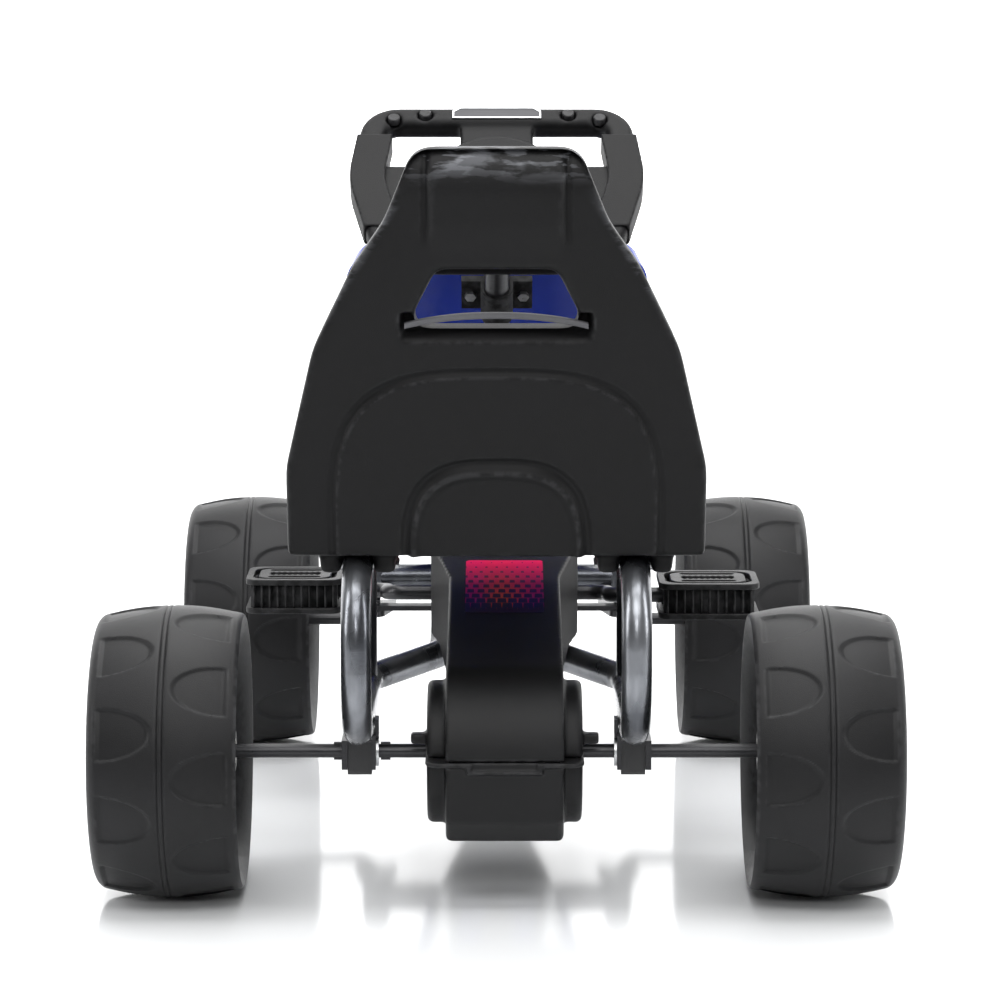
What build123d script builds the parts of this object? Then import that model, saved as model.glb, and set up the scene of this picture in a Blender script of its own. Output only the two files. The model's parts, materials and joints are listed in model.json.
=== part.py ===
from build123d import *
import os
from math import asin, atan2, cos, degrees, hypot, pi, radians, sin

os.makedirs("parts", exist_ok=True)

# A child's pedal go kart, in millimetres. +X is the driver's right, +Y is forward, +Z is up.
# The origin is on the ground at the middle of the kart's footprint.

# ---------------------------------------------------------------- driving dimensions
WHEELBASE = 660
REAR_TRACK = 558  # between the mid-planes of the rear wheels
FRONT_TRACK = 500
SEAT_OVERHANG = 149.3  # seat top behind the rear axle
NOSE_OVERHANG = 138  # nose tip ahead of the front axle

WHEEL_DIA = 250
WHEEL_WIDTH = 126
WHEEL_WALL = 3.5
HUB_BORE_DIA = 22
HUB_DEPTH = 17  # from the wheel's outer face in to the end of its hub

TUBE_DIA = 25.4
TUBE_WALL = 1.5
AXLE_DIA = 12
RUNNING = 0.08  # radial clearance of a shaft in a bearing
GAP = 0.3  # clearance between faces that slide past each other

RAIL_X = 117  # the hairpin rails, either side of the middle
SPINE_X = 51  # the same tubes where they run forward together
RAIL_LOW_Z = 150
RAIL_HIGH_Z = 290
RAIL_REACH = 90  # the hairpin's rear end behind the axle
RAIL_TOP_AHEAD = 215  # the upper run's front end ahead of the axle
STRUT_DIA = 19
STRUT_AHEAD = 170
CROSSBAR_AHEAD = 195
BEAM_Z = 169
BEND = 60

KINGPIN_X = 125
SLEEVE_DIA = 28
SLEEVE_LOW_Z = 150.5
SLEEVE_HIGH_Z = 201
KINGPIN_TOP_Z = 213
STUB_BEND = 25
ARM_LENGTH = 46  # steering arm, kingpin to tie bar
ARM_THICK = 6
ARM_TOP_Z = 142.3
ARM_WIDTH = 43
TIE_THICK = 5
TIE_WIDTH = 18
TIE_PIN_DIA = 8

STEER_AHEAD = 288  # middle of the steering wheel ahead of the rear axle
STEER_Z = 600
COLUMN_LEAN = 51.98  # degrees between the column and the ground
COLUMN_DIA = 24
COLUMN_ROD_DIA = 16
COLUMN_STEP = 300  # below the steering wheel, where the column narrows
COLUMN_TOP = 18
POST_DIA = 22
POST_TOP = 115
STRAP_AT = 157.5
STRAP_LENGTH = 35
STRAP_THICK = 3
STRAP_BOLT_X = 25
HEAD_PLATE_THICK = 4

CHAIN_X = 7
CHAIN_PITCH = 12.7
REAR_TEETH = 15
FRONT_TEETH = 25
SPROCKET_THICK = 2.4
ROLLER_DIA = 6.4
TOOTH_CLEAR = 2.1
CRANK_AHEAD = 345.3
CRANK_Z = 205
CRANK_ARM = 85
CRANK_DIA = 14
CRANK_ARM_X = 104
CRANK_BEND = 18
CRANK_TILT = 8  # degrees from level at rest, right pedal to the rear and up

PEDAL_LENGTH = 92
PEDAL_WIDTH = 82
PEDAL_HEIGHT = 33
PEDAL_X = 148
PEDAL_PLATE = 6

CASE_WIDTH = 100
CASE_WALL = 3
CASE_ROUND = 5
CASE_REAR_RADIUS = 79
CASE_FRONT_RADIUS = 66
CASE_FRONT_WIDTH = 136
BULGE_WIDTH = 132
BULGE_RADIUS = 61
CASE_SPLIT_Z = 131
CASE_BOTTOM_Z = 57.6
FLANGE_WIDTH = 134
FLANGE_THICK = 4

SEAT_HALF_WIDTH = 175
SEAT_TOP_Z = 649
SEAT_WALL = 4
SEAT_CORNER = SEAT_OVERHANG + 4.07  # the seat's top corner before it is rounded

RIM_FACE = 24
RIM_DEPTH = 21
RIM_HALF_WIDTH = 133
GRIP_EXTRA = 1.6
BUTTON_DIA = 11
BUTTON_RECESS_DIA = 14

# ---------------------------------------------------------------- places that follow
REAR_Y = SEAT_OVERHANG - (SEAT_OVERHANG + WHEELBASE + NOSE_OVERHANG) / 2
FRONT_Y = REAR_Y + WHEELBASE
AXLE_Z = WHEEL_DIA / 2
CRANK_Y = REAR_Y + CRANK_AHEAD
STEER_Y = REAR_Y + STEER_AHEAD
TIE_Y = FRONT_Y - ARM_LENGTH
TIE_Z = ARM_TOP_Z + GAP + TIE_THICK / 2
TUBE_R = TUBE_DIA / 2
AXLE_R = AXLE_DIA / 2
SIDES = {"left": -1, "right": 1}

LEAN = radians(COLUMN_LEAN)
COLUMN = Plane(origin=(0, STEER_Y, STEER_Z), x_dir=(1, 0, 0), z_dir=(0, -cos(LEAN), sin(LEAN)))


def along_column(y, z):
    """How far a point in the middle plane is above the column's line, and how far down it."""
    dy, dz = y - STEER_Y, z - STEER_Z
    return dy * sin(LEAN) + dz * cos(LEAN), dy * cos(LEAN) - dz * sin(LEAN)


POST_OFFSET, BEAM_DOWN = along_column(FRONT_Y, BEAM_Z)
PIN_OFFSET, PIN_DOWN = along_column(TIE_Y, TIE_Z)
PITMAN_TOP = PIN_DOWN - 19
PITMAN_THICK = 6


def write(piece, name):
    """Label a finished piece and write its STEP file."""
    piece.part.label = name
    export_step(piece.part, f"parts/{name}.step")


def bent_tube(points, bends, dia, wall=0.0):
    """A round tube, or a solid rod, along straight runs joined by tangent bends."""
    with BuildPart() as tube:
        with BuildLine() as route:
            FilletPolyline(*points, radius=bends)
        with BuildSketch(Plane(origin=route.line @ 0, z_dir=route.line % 0)):
            Circle(dia / 2)
            if wall:
                Circle(dia / 2 - wall, mode=Mode.SUBTRACT)
        sweep()
    return tube


def rod(x_from, x_to, y, z, radius, bore=0.0):
    """A cylinder, or a ring, along X."""
    with BuildPart() as cylinder:
        with BuildSketch(Plane(origin=(x_from, y, z), x_dir=(0, 1, 0), z_dir=(1, 0, 0))):
            Circle(radius)
            if bore:
                Circle(bore, mode=Mode.SUBTRACT)
        extrude(amount=x_to - x_from)
    return cylinder.part


def upright(x, y, z_from, z_to, radius):
    """A cylinder along Z."""
    with BuildPart() as cylinder:
        with BuildSketch(Plane(origin=(x, y, z_from))):
            Circle(radius)
        extrude(amount=z_to - z_from)
    return cylinder.part


def column_round(offset, down_from, down_to, radius):
    """A cylinder parallel to the steering column."""
    with BuildPart() as cylinder:
        with BuildSketch(COLUMN.offset(-down_to)):
            with Locations((0, offset)):
                Circle(radius)
        extrude(amount=down_to - down_from)
    return cylinder.part


# ---------------------------------------------------------------- welded frame
def rail_route(side):
    """Centre line of one frame tube: out of the front beam, under the seat and back over itself."""
    spine, rail = side * SPINE_X, side * RAIL_X
    return [
        (spine, FRONT_Y, BEAM_Z),
        (spine, REAR_Y + 330, RAIL_LOW_Z),
        (rail, REAR_Y + 200, RAIL_LOW_Z),
        (rail, REAR_Y - RAIL_REACH, RAIL_LOW_Z),
        (rail, REAR_Y - RAIL_REACH, RAIL_HIGH_Z),
        (rail, REAR_Y + RAIL_TOP_AHEAD, RAIL_HIGH_Z),
    ]


beam_round = rod(-KINGPIN_X, KINGPIN_X, FRONT_Y, BEAM_Z, TUBE_R)
sleeves = [
    upright(side * KINGPIN_X, FRONT_Y, SLEEVE_LOW_Z, SLEEVE_HIGH_Z, SLEEVE_DIA / 2)
    for side in SIDES.values()
]

with BuildPart() as front_beam:
    add(rod(-KINGPIN_X, KINGPIN_X, FRONT_Y, BEAM_Z, TUBE_R, TUBE_R - TUBE_WALL))
    for sleeve in sleeves:
        add(sleeve)
    with Locations(*[(side * KINGPIN_X, FRONT_Y, BEAM_Z) for side in SIDES.values()]):
        Cylinder(AXLE_R + RUNNING, 200, mode=Mode.SUBTRACT)
write(front_beam, "front_beam")

rail_rounds = {}
for name, side in SIDES.items():
    solid_rail = bent_tube(rail_route(side), BEND, TUBE_DIA)
    rail_rounds[name] = solid_rail.part
    with BuildPart() as frame_tube:
        add(bent_tube(rail_route(side), BEND, TUBE_DIA, TUBE_WALL).part)
        add(beam_round, mode=Mode.SUBTRACT)
    write(frame_tube, f"frame_tube_{name}")

with BuildPart() as seat_crossbar:
    add(rod(-RAIL_X, RAIL_X, REAR_Y + CROSSBAR_AHEAD, RAIL_HIGH_Z, TUBE_R, TUBE_R - TUBE_WALL))
    for rail in rail_rounds.values():
        add(rail, mode=Mode.SUBTRACT)
write(seat_crossbar, "seat_crossbar")

with BuildPart() as seat_struts:
    with BuildSketch(Plane.XY.offset(RAIL_LOW_Z)):
        with Locations(*[(side * RAIL_X, REAR_Y + STRUT_AHEAD) for side in SIDES.values()]):
            Circle(STRUT_DIA / 2)
            Circle(STRUT_DIA / 2 - TUBE_WALL, mode=Mode.SUBTRACT)
    extrude(amount=RAIL_HIGH_Z - RAIL_LOW_Z)
    for rail in rail_rounds.values():
        add(rail, mode=Mode.SUBTRACT)
write(seat_struts, "seat_struts")

# ---------------------------------------------------------------- rear axle brackets
BRACKET_TOP_Z = RAIL_LOW_Z - TUBE_R
BRACKET_TOP_THICK = 3
BRACKET_LOW_Z = 112
BRACKET_HALF_LENGTH = 18
BLOCK_WIDTH = 20.6
BLOCK_LOW_Z = 106.5
BLOCK_HALF_LENGTH = 14
OUTER_PLATE = 5
INNER_PLATE = 3.5
EAR_Z = (138.5, 154)
EAR_HALF_LENGTH = 9


def box_between(x, y, z, mode=Mode.ADD):
    """A box from its lowest to its highest value on each axis."""
    with Locations(((x[0] + x[1]) / 2, (y[0] + y[1]) / 2, (z[0] + z[1]) / 2)):
        Box(abs(x[1] - x[0]), abs(y[1] - y[0]), abs(z[1] - z[0]), mode=mode)


for name, side in SIDES.items():
    block_in = RAIL_X - BLOCK_WIDTH / 2
    block_out = RAIL_X + BLOCK_WIDTH / 2
    plate_y = (REAR_Y - BRACKET_HALF_LENGTH, REAR_Y + BRACKET_HALF_LENGTH)
    inner_x = (side * (block_in - INNER_PLATE), side * block_in)
    outer_x = (side * block_out, side * (block_out + OUTER_PLATE))
    ear_x = (side * (RAIL_X - TUBE_R - INNER_PLATE), side * (RAIL_X - TUBE_R))
    with BuildPart() as rear_bracket:
        box_between((inner_x[0], outer_x[1]), plate_y, (BRACKET_TOP_Z - BRACKET_TOP_THICK, BRACKET_TOP_Z))
        box_between(outer_x, plate_y, (BRACKET_LOW_Z, BRACKET_TOP_Z))
        box_between(inner_x, plate_y, (BRACKET_LOW_Z, BRACKET_TOP_Z + 4.5))
        box_between(ear_x, (REAR_Y - EAR_HALF_LENGTH, REAR_Y + EAR_HALF_LENGTH), EAR_Z)
        add(rail_rounds[name], mode=Mode.SUBTRACT)
        add(rod(-200, 200, REAR_Y, AXLE_Z, AXLE_R + 1), mode=Mode.SUBTRACT)
    write(rear_bracket, f"rear_bracket_{name}")

    with BuildPart() as bearing_block:
        box_between(
            (side * block_in, side * block_out),
            (REAR_Y - BLOCK_HALF_LENGTH, REAR_Y + BLOCK_HALF_LENGTH),
            (BLOCK_LOW_Z, BRACKET_TOP_Z - BRACKET_TOP_THICK),
        )
        chamfer(bearing_block.edges().filter_by(Axis.X).group_by(Axis.Z)[0], 3)
        add(rod(-200, 200, REAR_Y, AXLE_Z, AXLE_R + RUNNING), mode=Mode.SUBTRACT)
    write(bearing_block, f"bearing_block_{name}")

# ---------------------------------------------------------------- rear axle
AXLE_HALF = REAR_TRACK / 2 + WHEEL_WIDTH / 2 - HUB_DEPTH + 5
WASHER_R = 13
WASHER_THICK = 2
STAKE_HALF = 7.7
STAKE_X = (-139.5, -RAIL_X - BLOCK_WIDTH / 2 - OUTER_PLATE - GAP)
INNER_STAKE_X = (-99.3, -91)

with BuildPart() as rear_axle:
    add(rod(-AXLE_HALF, AXLE_HALF, REAR_Y, AXLE_Z, AXLE_R))
    for stake in (STAKE_X, INNER_STAKE_X):
        box_between(stake, (REAR_Y - 1.5, REAR_Y + 1.5), (AXLE_Z - STAKE_HALF, AXLE_Z + STAKE_HALF))
    chamfer(rear_axle.edges().filter_by(GeomType.CIRCLE).sort_by(Axis.X)[0], 1)
    chamfer(rear_axle.edges().filter_by(GeomType.CIRCLE).sort_by(Axis.X)[-1], 1)
write(rear_axle, "rear_axle")

hub_face_x = REAR_TRACK / 2 + WHEEL_WIDTH / 2 - HUB_DEPTH
with BuildPart() as axle_washers:
    for side in SIDES.values():
        inner = RAIL_X - BLOCK_WIDTH / 2 - INNER_PLATE - GAP
        add(rod(side * inner, side * (inner - WASHER_THICK), REAR_Y, AXLE_Z, WASHER_R, AXLE_R))
        nut = hub_face_x + GAP
        add(rod(side * nut, side * (nut + 3), REAR_Y, AXLE_Z, WASHER_R, AXLE_R))
write(axle_washers, "axle_washers")

# ---------------------------------------------------------------- chain drive
REAR_PITCH_R = CHAIN_PITCH / 2 / sin(pi / REAR_TEETH)
FRONT_PITCH_R = CHAIN_PITCH / 2 / sin(pi / FRONT_TEETH)
CENTRES = hypot(CRANK_Y - REAR_Y, CRANK_Z - AXLE_Z)
CHAIN_RISE = atan2(CRANK_Z - AXLE_Z, CRANK_Y - REAR_Y)
CHAIN_SPREAD = asin((FRONT_PITCH_R - REAR_PITCH_R) / CENTRES)
RUN = CENTRES * cos(CHAIN_SPREAD)
FRONT_WRAP = pi + 2 * CHAIN_SPREAD
REAR_WRAP = pi - 2 * CHAIN_SPREAD
LOOP = 2 * RUN + FRONT_WRAP * FRONT_PITCH_R + REAR_WRAP * REAR_PITCH_R
LINKS = round(LOOP / CHAIN_PITCH)
DRIVE = Plane(origin=(CHAIN_X, 0, 0), x_dir=(0, 1, 0), z_dir=(1, 0, 0))


def around(centre, radius, angle):
    """A point on a circle in the plane of the chain."""
    return centre[0] + radius * cos(angle), centre[1] + radius * sin(angle)


def chain_point(s):
    """Where a roller is, from its distance along the chain's pitch line."""
    front, rear = (CRANK_Y, CRANK_Z), (REAR_Y, AXLE_Z)
    top = CHAIN_RISE + pi / 2 + CHAIN_SPREAD
    bottom = CHAIN_RISE - pi / 2 - CHAIN_SPREAD
    if s < FRONT_WRAP * FRONT_PITCH_R:
        return around(front, FRONT_PITCH_R, top - s / FRONT_PITCH_R)
    s -= FRONT_WRAP * FRONT_PITCH_R
    start, end = around(front, FRONT_PITCH_R, bottom), around(rear, REAR_PITCH_R, bottom)
    if s < RUN:
        return tuple(a + (b - a) * s / RUN for a, b in zip(start, end))
    s -= RUN
    if s < REAR_WRAP * REAR_PITCH_R:
        return around(rear, REAR_PITCH_R, bottom - s / REAR_PITCH_R)
    s -= REAR_WRAP * REAR_PITCH_R
    start, end = around(rear, REAR_PITCH_R, top), around(front, FRONT_PITCH_R, top)
    return tuple(a + (b - a) * s / RUN for a, b in zip(start, end))


rollers = [chain_point(k * LOOP / LINKS) for k in range(LINKS)]


def phase(centre, towards):
    """The angle of the roller nearest the middle of a sprocket's wrap."""
    found = min(rollers, key=lambda p: hypot(p[0] - towards[0], p[1] - towards[1]))
    return atan2(found[1] - centre[1], found[0] - centre[0])


def sprocket(teeth, pitch_r, centre, towards, bore, collar_r, collar_half):
    """A toothed disc with a collar, its tooth gaps lined up with the chain's rollers."""
    turn = phase(centre, towards)
    gaps = [around(centre, pitch_r, turn + 2 * pi * k / teeth) for k in range(teeth)]
    with BuildPart() as toothed:
        with BuildSketch(DRIVE.offset(-SPROCKET_THICK / 2)):
            with Locations(centre):
                Circle(pitch_r + 3.4)
            with Locations(*gaps):
                Circle(ROLLER_DIA / 2 + TOOTH_CLEAR, mode=Mode.SUBTRACT)
        extrude(amount=SPROCKET_THICK)
        add(rod(CHAIN_X - collar_half, CHAIN_X + collar_half, *centre, collar_r))
        if pitch_r > 40:
            with BuildSketch(DRIVE.offset(-SPROCKET_THICK)):
                with Locations(centre):
                    with PolarLocations(pitch_r * 0.6, 5):
                        Circle(pitch_r * 0.16)
            extrude(amount=2 * SPROCKET_THICK, mode=Mode.SUBTRACT)
        add(rod(CHAIN_X - 40, CHAIN_X + 40, *centre, bore), mode=Mode.SUBTRACT)
    return toothed


rear_mid = around((REAR_Y, AXLE_Z), REAR_PITCH_R, CHAIN_RISE + pi)
front_mid = around((CRANK_Y, CRANK_Z), FRONT_PITCH_R, CHAIN_RISE)
rear_sprocket = sprocket(REAR_TEETH, REAR_PITCH_R, (REAR_Y, AXLE_Z), rear_mid, AXLE_R, 12, 10)
write(rear_sprocket, "rear_sprocket")
chainring = sprocket(FRONT_TEETH, FRONT_PITCH_R, (CRANK_Y, CRANK_Z), front_mid, CRANK_DIA / 2, 15, 6)
write(chainring, "chainring")

PLATE_HALF_HEIGHT = 4
PLATE_THICK = 1.2
PLATE_INSET = SPROCKET_THICK / 2 + 0.5
with BuildPart() as chain:
    for x in (-PLATE_INSET - PLATE_THICK, PLATE_INSET):
        with BuildSketch(DRIVE.offset(x)):
            for grow, how in ((PLATE_HALF_HEIGHT, Mode.ADD), (-PLATE_HALF_HEIGHT, Mode.SUBTRACT)):
                with BuildSketch(DRIVE.offset(x), mode=Mode.PRIVATE) as loop:
                    with Locations((CRANK_Y, CRANK_Z)):
                        Circle(FRONT_PITCH_R + grow)
                    with Locations((REAR_Y, AXLE_Z)):
                        Circle(REAR_PITCH_R + grow)
                    make_hull()
                add(loop.sketch_local, mode=how)
        extrude(amount=PLATE_THICK)
    with BuildSketch(DRIVE.offset(-PLATE_INSET - PLATE_THICK)):
        with Locations(*rollers):
            Circle(ROLLER_DIA / 2)
    extrude(amount=2 * (PLATE_INSET + PLATE_THICK))
write(chain, "chain")

# ---------------------------------------------------------------- crank and pedals
tilt = radians(CRANK_TILT)
pedal_y = {side: CRANK_Y - side * CRANK_ARM * cos(tilt) for side in SIDES.values()}
pedal_z = {side: CRANK_Z + side * CRANK_ARM * sin(tilt) for side in SIDES.values()}
PEDAL_SPINDLE_END = PEDAL_X + PEDAL_LENGTH - 6

crank = bent_tube(
    [
        (-PEDAL_SPINDLE_END, pedal_y[-1], pedal_z[-1]),
        (-CRANK_ARM_X, pedal_y[-1], pedal_z[-1]),
        (-CRANK_ARM_X, CRANK_Y, CRANK_Z),
        (CRANK_ARM_X, CRANK_Y, CRANK_Z),
        (CRANK_ARM_X, pedal_y[1], pedal_z[1]),
        (PEDAL_SPINDLE_END, pedal_y[1], pedal_z[1]),
    ],
    CRANK_BEND,
    CRANK_DIA,
)
write(crank, "crank")

for name, side in SIDES.items():
    middle = (side * (PEDAL_X + PEDAL_LENGTH / 2), pedal_y[side], pedal_z[side])
    spindle = rod(
        side * (PEDAL_X - 10),
        side * (PEDAL_SPINDLE_END + 1),
        pedal_y[side],
        pedal_z[side],
        CRANK_DIA / 2 + RUNNING,
    )
    with BuildPart() as pedal:
        for top in (PEDAL_HEIGHT / 2, PEDAL_PLATE - PEDAL_HEIGHT / 2):
            with BuildSketch(Plane(origin=middle).offset(top - PEDAL_PLATE)):
                RectangleRounded(PEDAL_LENGTH, PEDAL_WIDTH, 14)
            extrude(amount=PEDAL_PLATE)
        with BuildSketch(Plane(origin=middle).offset(-PEDAL_HEIGHT / 2)):
            with GridLocations((PEDAL_LENGTH - 12) / 4, 1, 5, 1):
                Rectangle(4, PEDAL_WIDTH - 12)
            Rectangle(PEDAL_LENGTH - 8, 30)
        extrude(amount=PEDAL_HEIGHT)
        with BuildSketch(Plane(origin=middle).offset(-PEDAL_HEIGHT / 2)):
            with GridLocations((PEDAL_LENGTH - 12) / 4, 44, 4, 2):
                SlotOverall(20, 9, rotation=90)
        extrude(amount=PEDAL_HEIGHT, mode=Mode.SUBTRACT)
        add(spindle, mode=Mode.SUBTRACT)
    write(pedal, f"pedal_{name}")

# ---------------------------------------------------------------- crank hangers and their bushes
HANGER_THICK = 8
HANGER_TOP_R = 17
BUSH_R = 9.5
case_inner_half = CASE_FRONT_WIDTH / 2 - CASE_WALL
hanger_rise = Plane(origin=(0, CRANK_Y, 0), x_dir=(0, 1, 0), z_dir=(1, 0, 0))

with BuildPart() as crank_hangers:
    for name, side in SIDES.items():
        with BuildSketch(hanger_rise.offset(side * SPINE_X - HANGER_THICK / 2)):
            with BuildLine():
                Polyline(
                    (-30, RAIL_LOW_Z),
                    (30, RAIL_LOW_Z),
                    (HANGER_TOP_R, CRANK_Z),
                    (-HANGER_TOP_R, CRANK_Z),
                    close=True,
                )
            make_face()
            with Locations((0, CRANK_Z)):
                Circle(HANGER_TOP_R)
        extrude(amount=HANGER_THICK)
        box_between(
            (side * SPINE_X, CHAIN_X + side * case_inner_half),
            (CRANK_Y - 8, CRANK_Y + 8),
            (CRANK_Z + HANGER_TOP_R - 2, CRANK_Z + HANGER_TOP_R + 6),
        )
    for rail in rail_rounds.values():
        add(rail, mode=Mode.SUBTRACT)
    add(rod(-100, 100, CRANK_Y, CRANK_Z, BUSH_R), mode=Mode.SUBTRACT)
write(crank_hangers, "crank_hangers")

with BuildPart() as crank_bushes:
    for side in SIDES.values():
        inner, outer = SPINE_X - HANGER_THICK / 2, SPINE_X + HANGER_THICK / 2
        bore = CRANK_DIA / 2 + RUNNING
        add(rod(side * inner, side * outer, CRANK_Y, CRANK_Z, BUSH_R, bore))
        add(rod(side * (inner - 1.5), side * inner, CRANK_Y, CRANK_Z, BUSH_R + 3, bore))
write(crank_bushes, "crank_bushes")

# ---------------------------------------------------------------- chain case
CASE_RISE = degrees(CHAIN_RISE - asin((CASE_REAR_RADIUS - CASE_FRONT_RADIUS) / CENTRES))
CASE_LOWER_FRONT = REAR_Y + 146
SPINDLE_SLOT_R = 12
LUG_Z = (137, 146)
SPLIT_BEND = REAR_Y + 60  # ahead of this the split slopes down, to clear the chain's lower run
LOWER_FRONT_Z = 112
LEDGE_HALF = 32


def bulge(inset):
    """The round bulge over the rear sprocket, with softened edges."""
    half = BULGE_WIDTH / 2 - inset
    with BuildPart() as drum:
        add(rod(CHAIN_X - half, CHAIN_X + half, REAR_Y, AXLE_Z, BULGE_RADIUS - inset))
        fillet(drum.edges().filter_by(GeomType.CIRCLE), CASE_ROUND - inset)
    return drum.part


def case_core(inset):
    """The upper case's volume: two rounds and their tangents from the side, a flared plan above."""
    with BuildPart() as core:
        with BuildSketch(DRIVE.offset(-CASE_FRONT_WIDTH / 2 + inset)):
            with Locations((REAR_Y, AXLE_Z)):
                Circle(CASE_REAR_RADIUS - inset)
            with Locations((CRANK_Y, CRANK_Z)):
                Circle(CASE_FRONT_RADIUS - inset)
            make_hull()
        extrude(amount=CASE_FRONT_WIDTH - 2 * inset)
        tail, nose = CASE_WIDTH / 2 - inset, CASE_FRONT_WIDTH / 2 - inset
        with BuildSketch():
            with BuildLine():
                Polyline(
                    (CHAIN_X - tail, REAR_Y - 200),
                    (CHAIN_X + tail, REAR_Y - 200),
                    (CHAIN_X + tail, REAR_Y + 200),
                    (CHAIN_X + nose, REAR_Y + 290),
                    (CHAIN_X + nose, REAR_Y + 600),
                    (CHAIN_X - nose, REAR_Y + 600),
                    (CHAIN_X - nose, REAR_Y + 290),
                    (CHAIN_X - tail, REAR_Y + 200),
                    close=True,
                )
            make_face()
        extrude(amount=400, mode=Mode.INTERSECT)
        add(bulge(inset))
    return core.part


with BuildPart() as chain_case_upper:
    add(case_core(0))
    add(case_core(CASE_WALL), mode=Mode.SUBTRACT)
    with BuildSketch(DRIVE.offset(-200)):
        with BuildLine():
            Polyline(
                (REAR_Y - 150, 0),
                (REAR_Y - 150, CASE_SPLIT_Z),
                (SPLIT_BEND, CASE_SPLIT_Z),
                (CASE_LOWER_FRONT, LOWER_FRONT_Z),
                (REAR_Y + 250, CRANK_Z - 34),
                (CRANK_Y - 15, CRANK_Z - 27),
                (CRANK_Y + 100, CRANK_Z - 20),
                (CRANK_Y + 100, 0),
                close=True,
            )
        make_face()
        with Locations((CRANK_Y, CRANK_Z)):
            Circle(SPINDLE_SLOT_R)
        with Locations((CRANK_Y, CRANK_Z - 20)):
            Rectangle(2 * SPINDLE_SLOT_R, 40)
    extrude(amount=400, mode=Mode.SUBTRACT)
    for side in SIDES.values():
        wall = CHAIN_X + side * BULGE_WIDTH / 2
        box_between((wall - side, wall + side * 14), (REAR_Y - 32, REAR_Y - 20), LUG_Z)
    add(rod(-100, 100, REAR_Y, AXLE_Z, AXLE_R + 4), mode=Mode.SUBTRACT)
write(chain_case_upper, "chain_case_upper")


def lower_core(inset, front_top):
    """The lower case's volume below the split, a shallow boat round the rear sprocket."""
    low = CASE_BOTTOM_Z + inset
    rear, front = REAR_Y - CASE_REAR_RADIUS + inset, CASE_LOWER_FRONT - inset
    with BuildPart() as core:
        with BuildSketch(DRIVE.offset(-CASE_WIDTH / 2 + inset)):
            with BuildLine():
                Polyline(
                    (rear, CASE_SPLIT_Z),
                    (rear + 6, low + 20),
                    (rear + 26, low),
                    (REAR_Y + 40, low),
                    (front, low + 26),
                    (front, front_top),
                    (SPLIT_BEND, CASE_SPLIT_Z),
                    close=True,
                )
            make_face()
        extrude(amount=CASE_WIDTH - 2 * inset)
        flanks = core.edges().filter_by(lambda e: abs(abs(e.center().X - CHAIN_X) - CASE_WIDTH / 2 + inset) < 0.1)
        fillet(flanks.filter_by(lambda e: e.center().Z < LOWER_FRONT_Z - 2), CASE_ROUND - inset)
        add(bulge(inset))
        split(bisect_by=Plane.XY.offset(CASE_SPLIT_Z), keep=Keep.BOTTOM)
    return core.part


with BuildPart() as chain_case_lower:
    add(lower_core(0, LOWER_FRONT_Z))
    flange_y = (REAR_Y - CASE_REAR_RADIUS - 4, SPLIT_BEND)
    with BuildSketch(Plane.XY.offset(CASE_SPLIT_Z - FLANGE_THICK)):
        with Locations((CHAIN_X, sum(flange_y) / 2)):
            RectangleRounded(FLANGE_WIDTH, flange_y[1] - flange_y[0], 12)
        with Locations((CHAIN_X, flange_y[0])):
            Rectangle(56, 2 * 3, mode=Mode.SUBTRACT)
    extrude(amount=FLANGE_THICK)
    ledge_z = (CASE_SPLIT_Z - FLANGE_THICK - 6, CASE_SPLIT_Z - FLANGE_THICK - 3)
    box_between((CHAIN_X - LEDGE_HALF, CHAIN_X + LEDGE_HALF), (flange_y[0], flange_y[0] + 6), ledge_z)
    add(lower_core(CASE_WALL, CASE_SPLIT_Z), mode=Mode.SUBTRACT)
    add(rod(-100, 100, REAR_Y, AXLE_Z, AXLE_R + 4), mode=Mode.SUBTRACT)
write(chain_case_lower, "chain_case_lower")

LABEL_FROM = 125  # along the tunnel's sloping top, from where the barrel's round ends
LABEL_LENGTH = 135
LABEL_THICK = 0.4
rise = radians(CASE_RISE)
tunnel_top = Plane(
    origin=(
        CHAIN_X,
        REAR_Y - CASE_REAR_RADIUS * sin(rise),
        AXLE_Z + CASE_REAR_RADIUS * cos(rise),
    ),
    x_dir=(1, 0, 0),
    z_dir=(0, -sin(rise), cos(rise)),
)
with BuildPart() as guard_label:
    with BuildSketch(tunnel_top):
        with Locations((0, LABEL_FROM + LABEL_LENGTH / 2)):
            RectangleRounded(70, LABEL_LENGTH, 4)
    extrude(amount=LABEL_THICK)
write(guard_label, "guard_label")

# ---------------------------------------------------------------- wheels
BOSS_R = 24
DISH_R = 92


def wheel_plane(side, track, y):
    """Axial section of a wheel: local x runs out along its axle and local y is the radius."""
    return Plane(origin=(side * track / 2, y, AXLE_Z), x_dir=(side, 0, 0), z_dir=(0, -side, 0))


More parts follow.
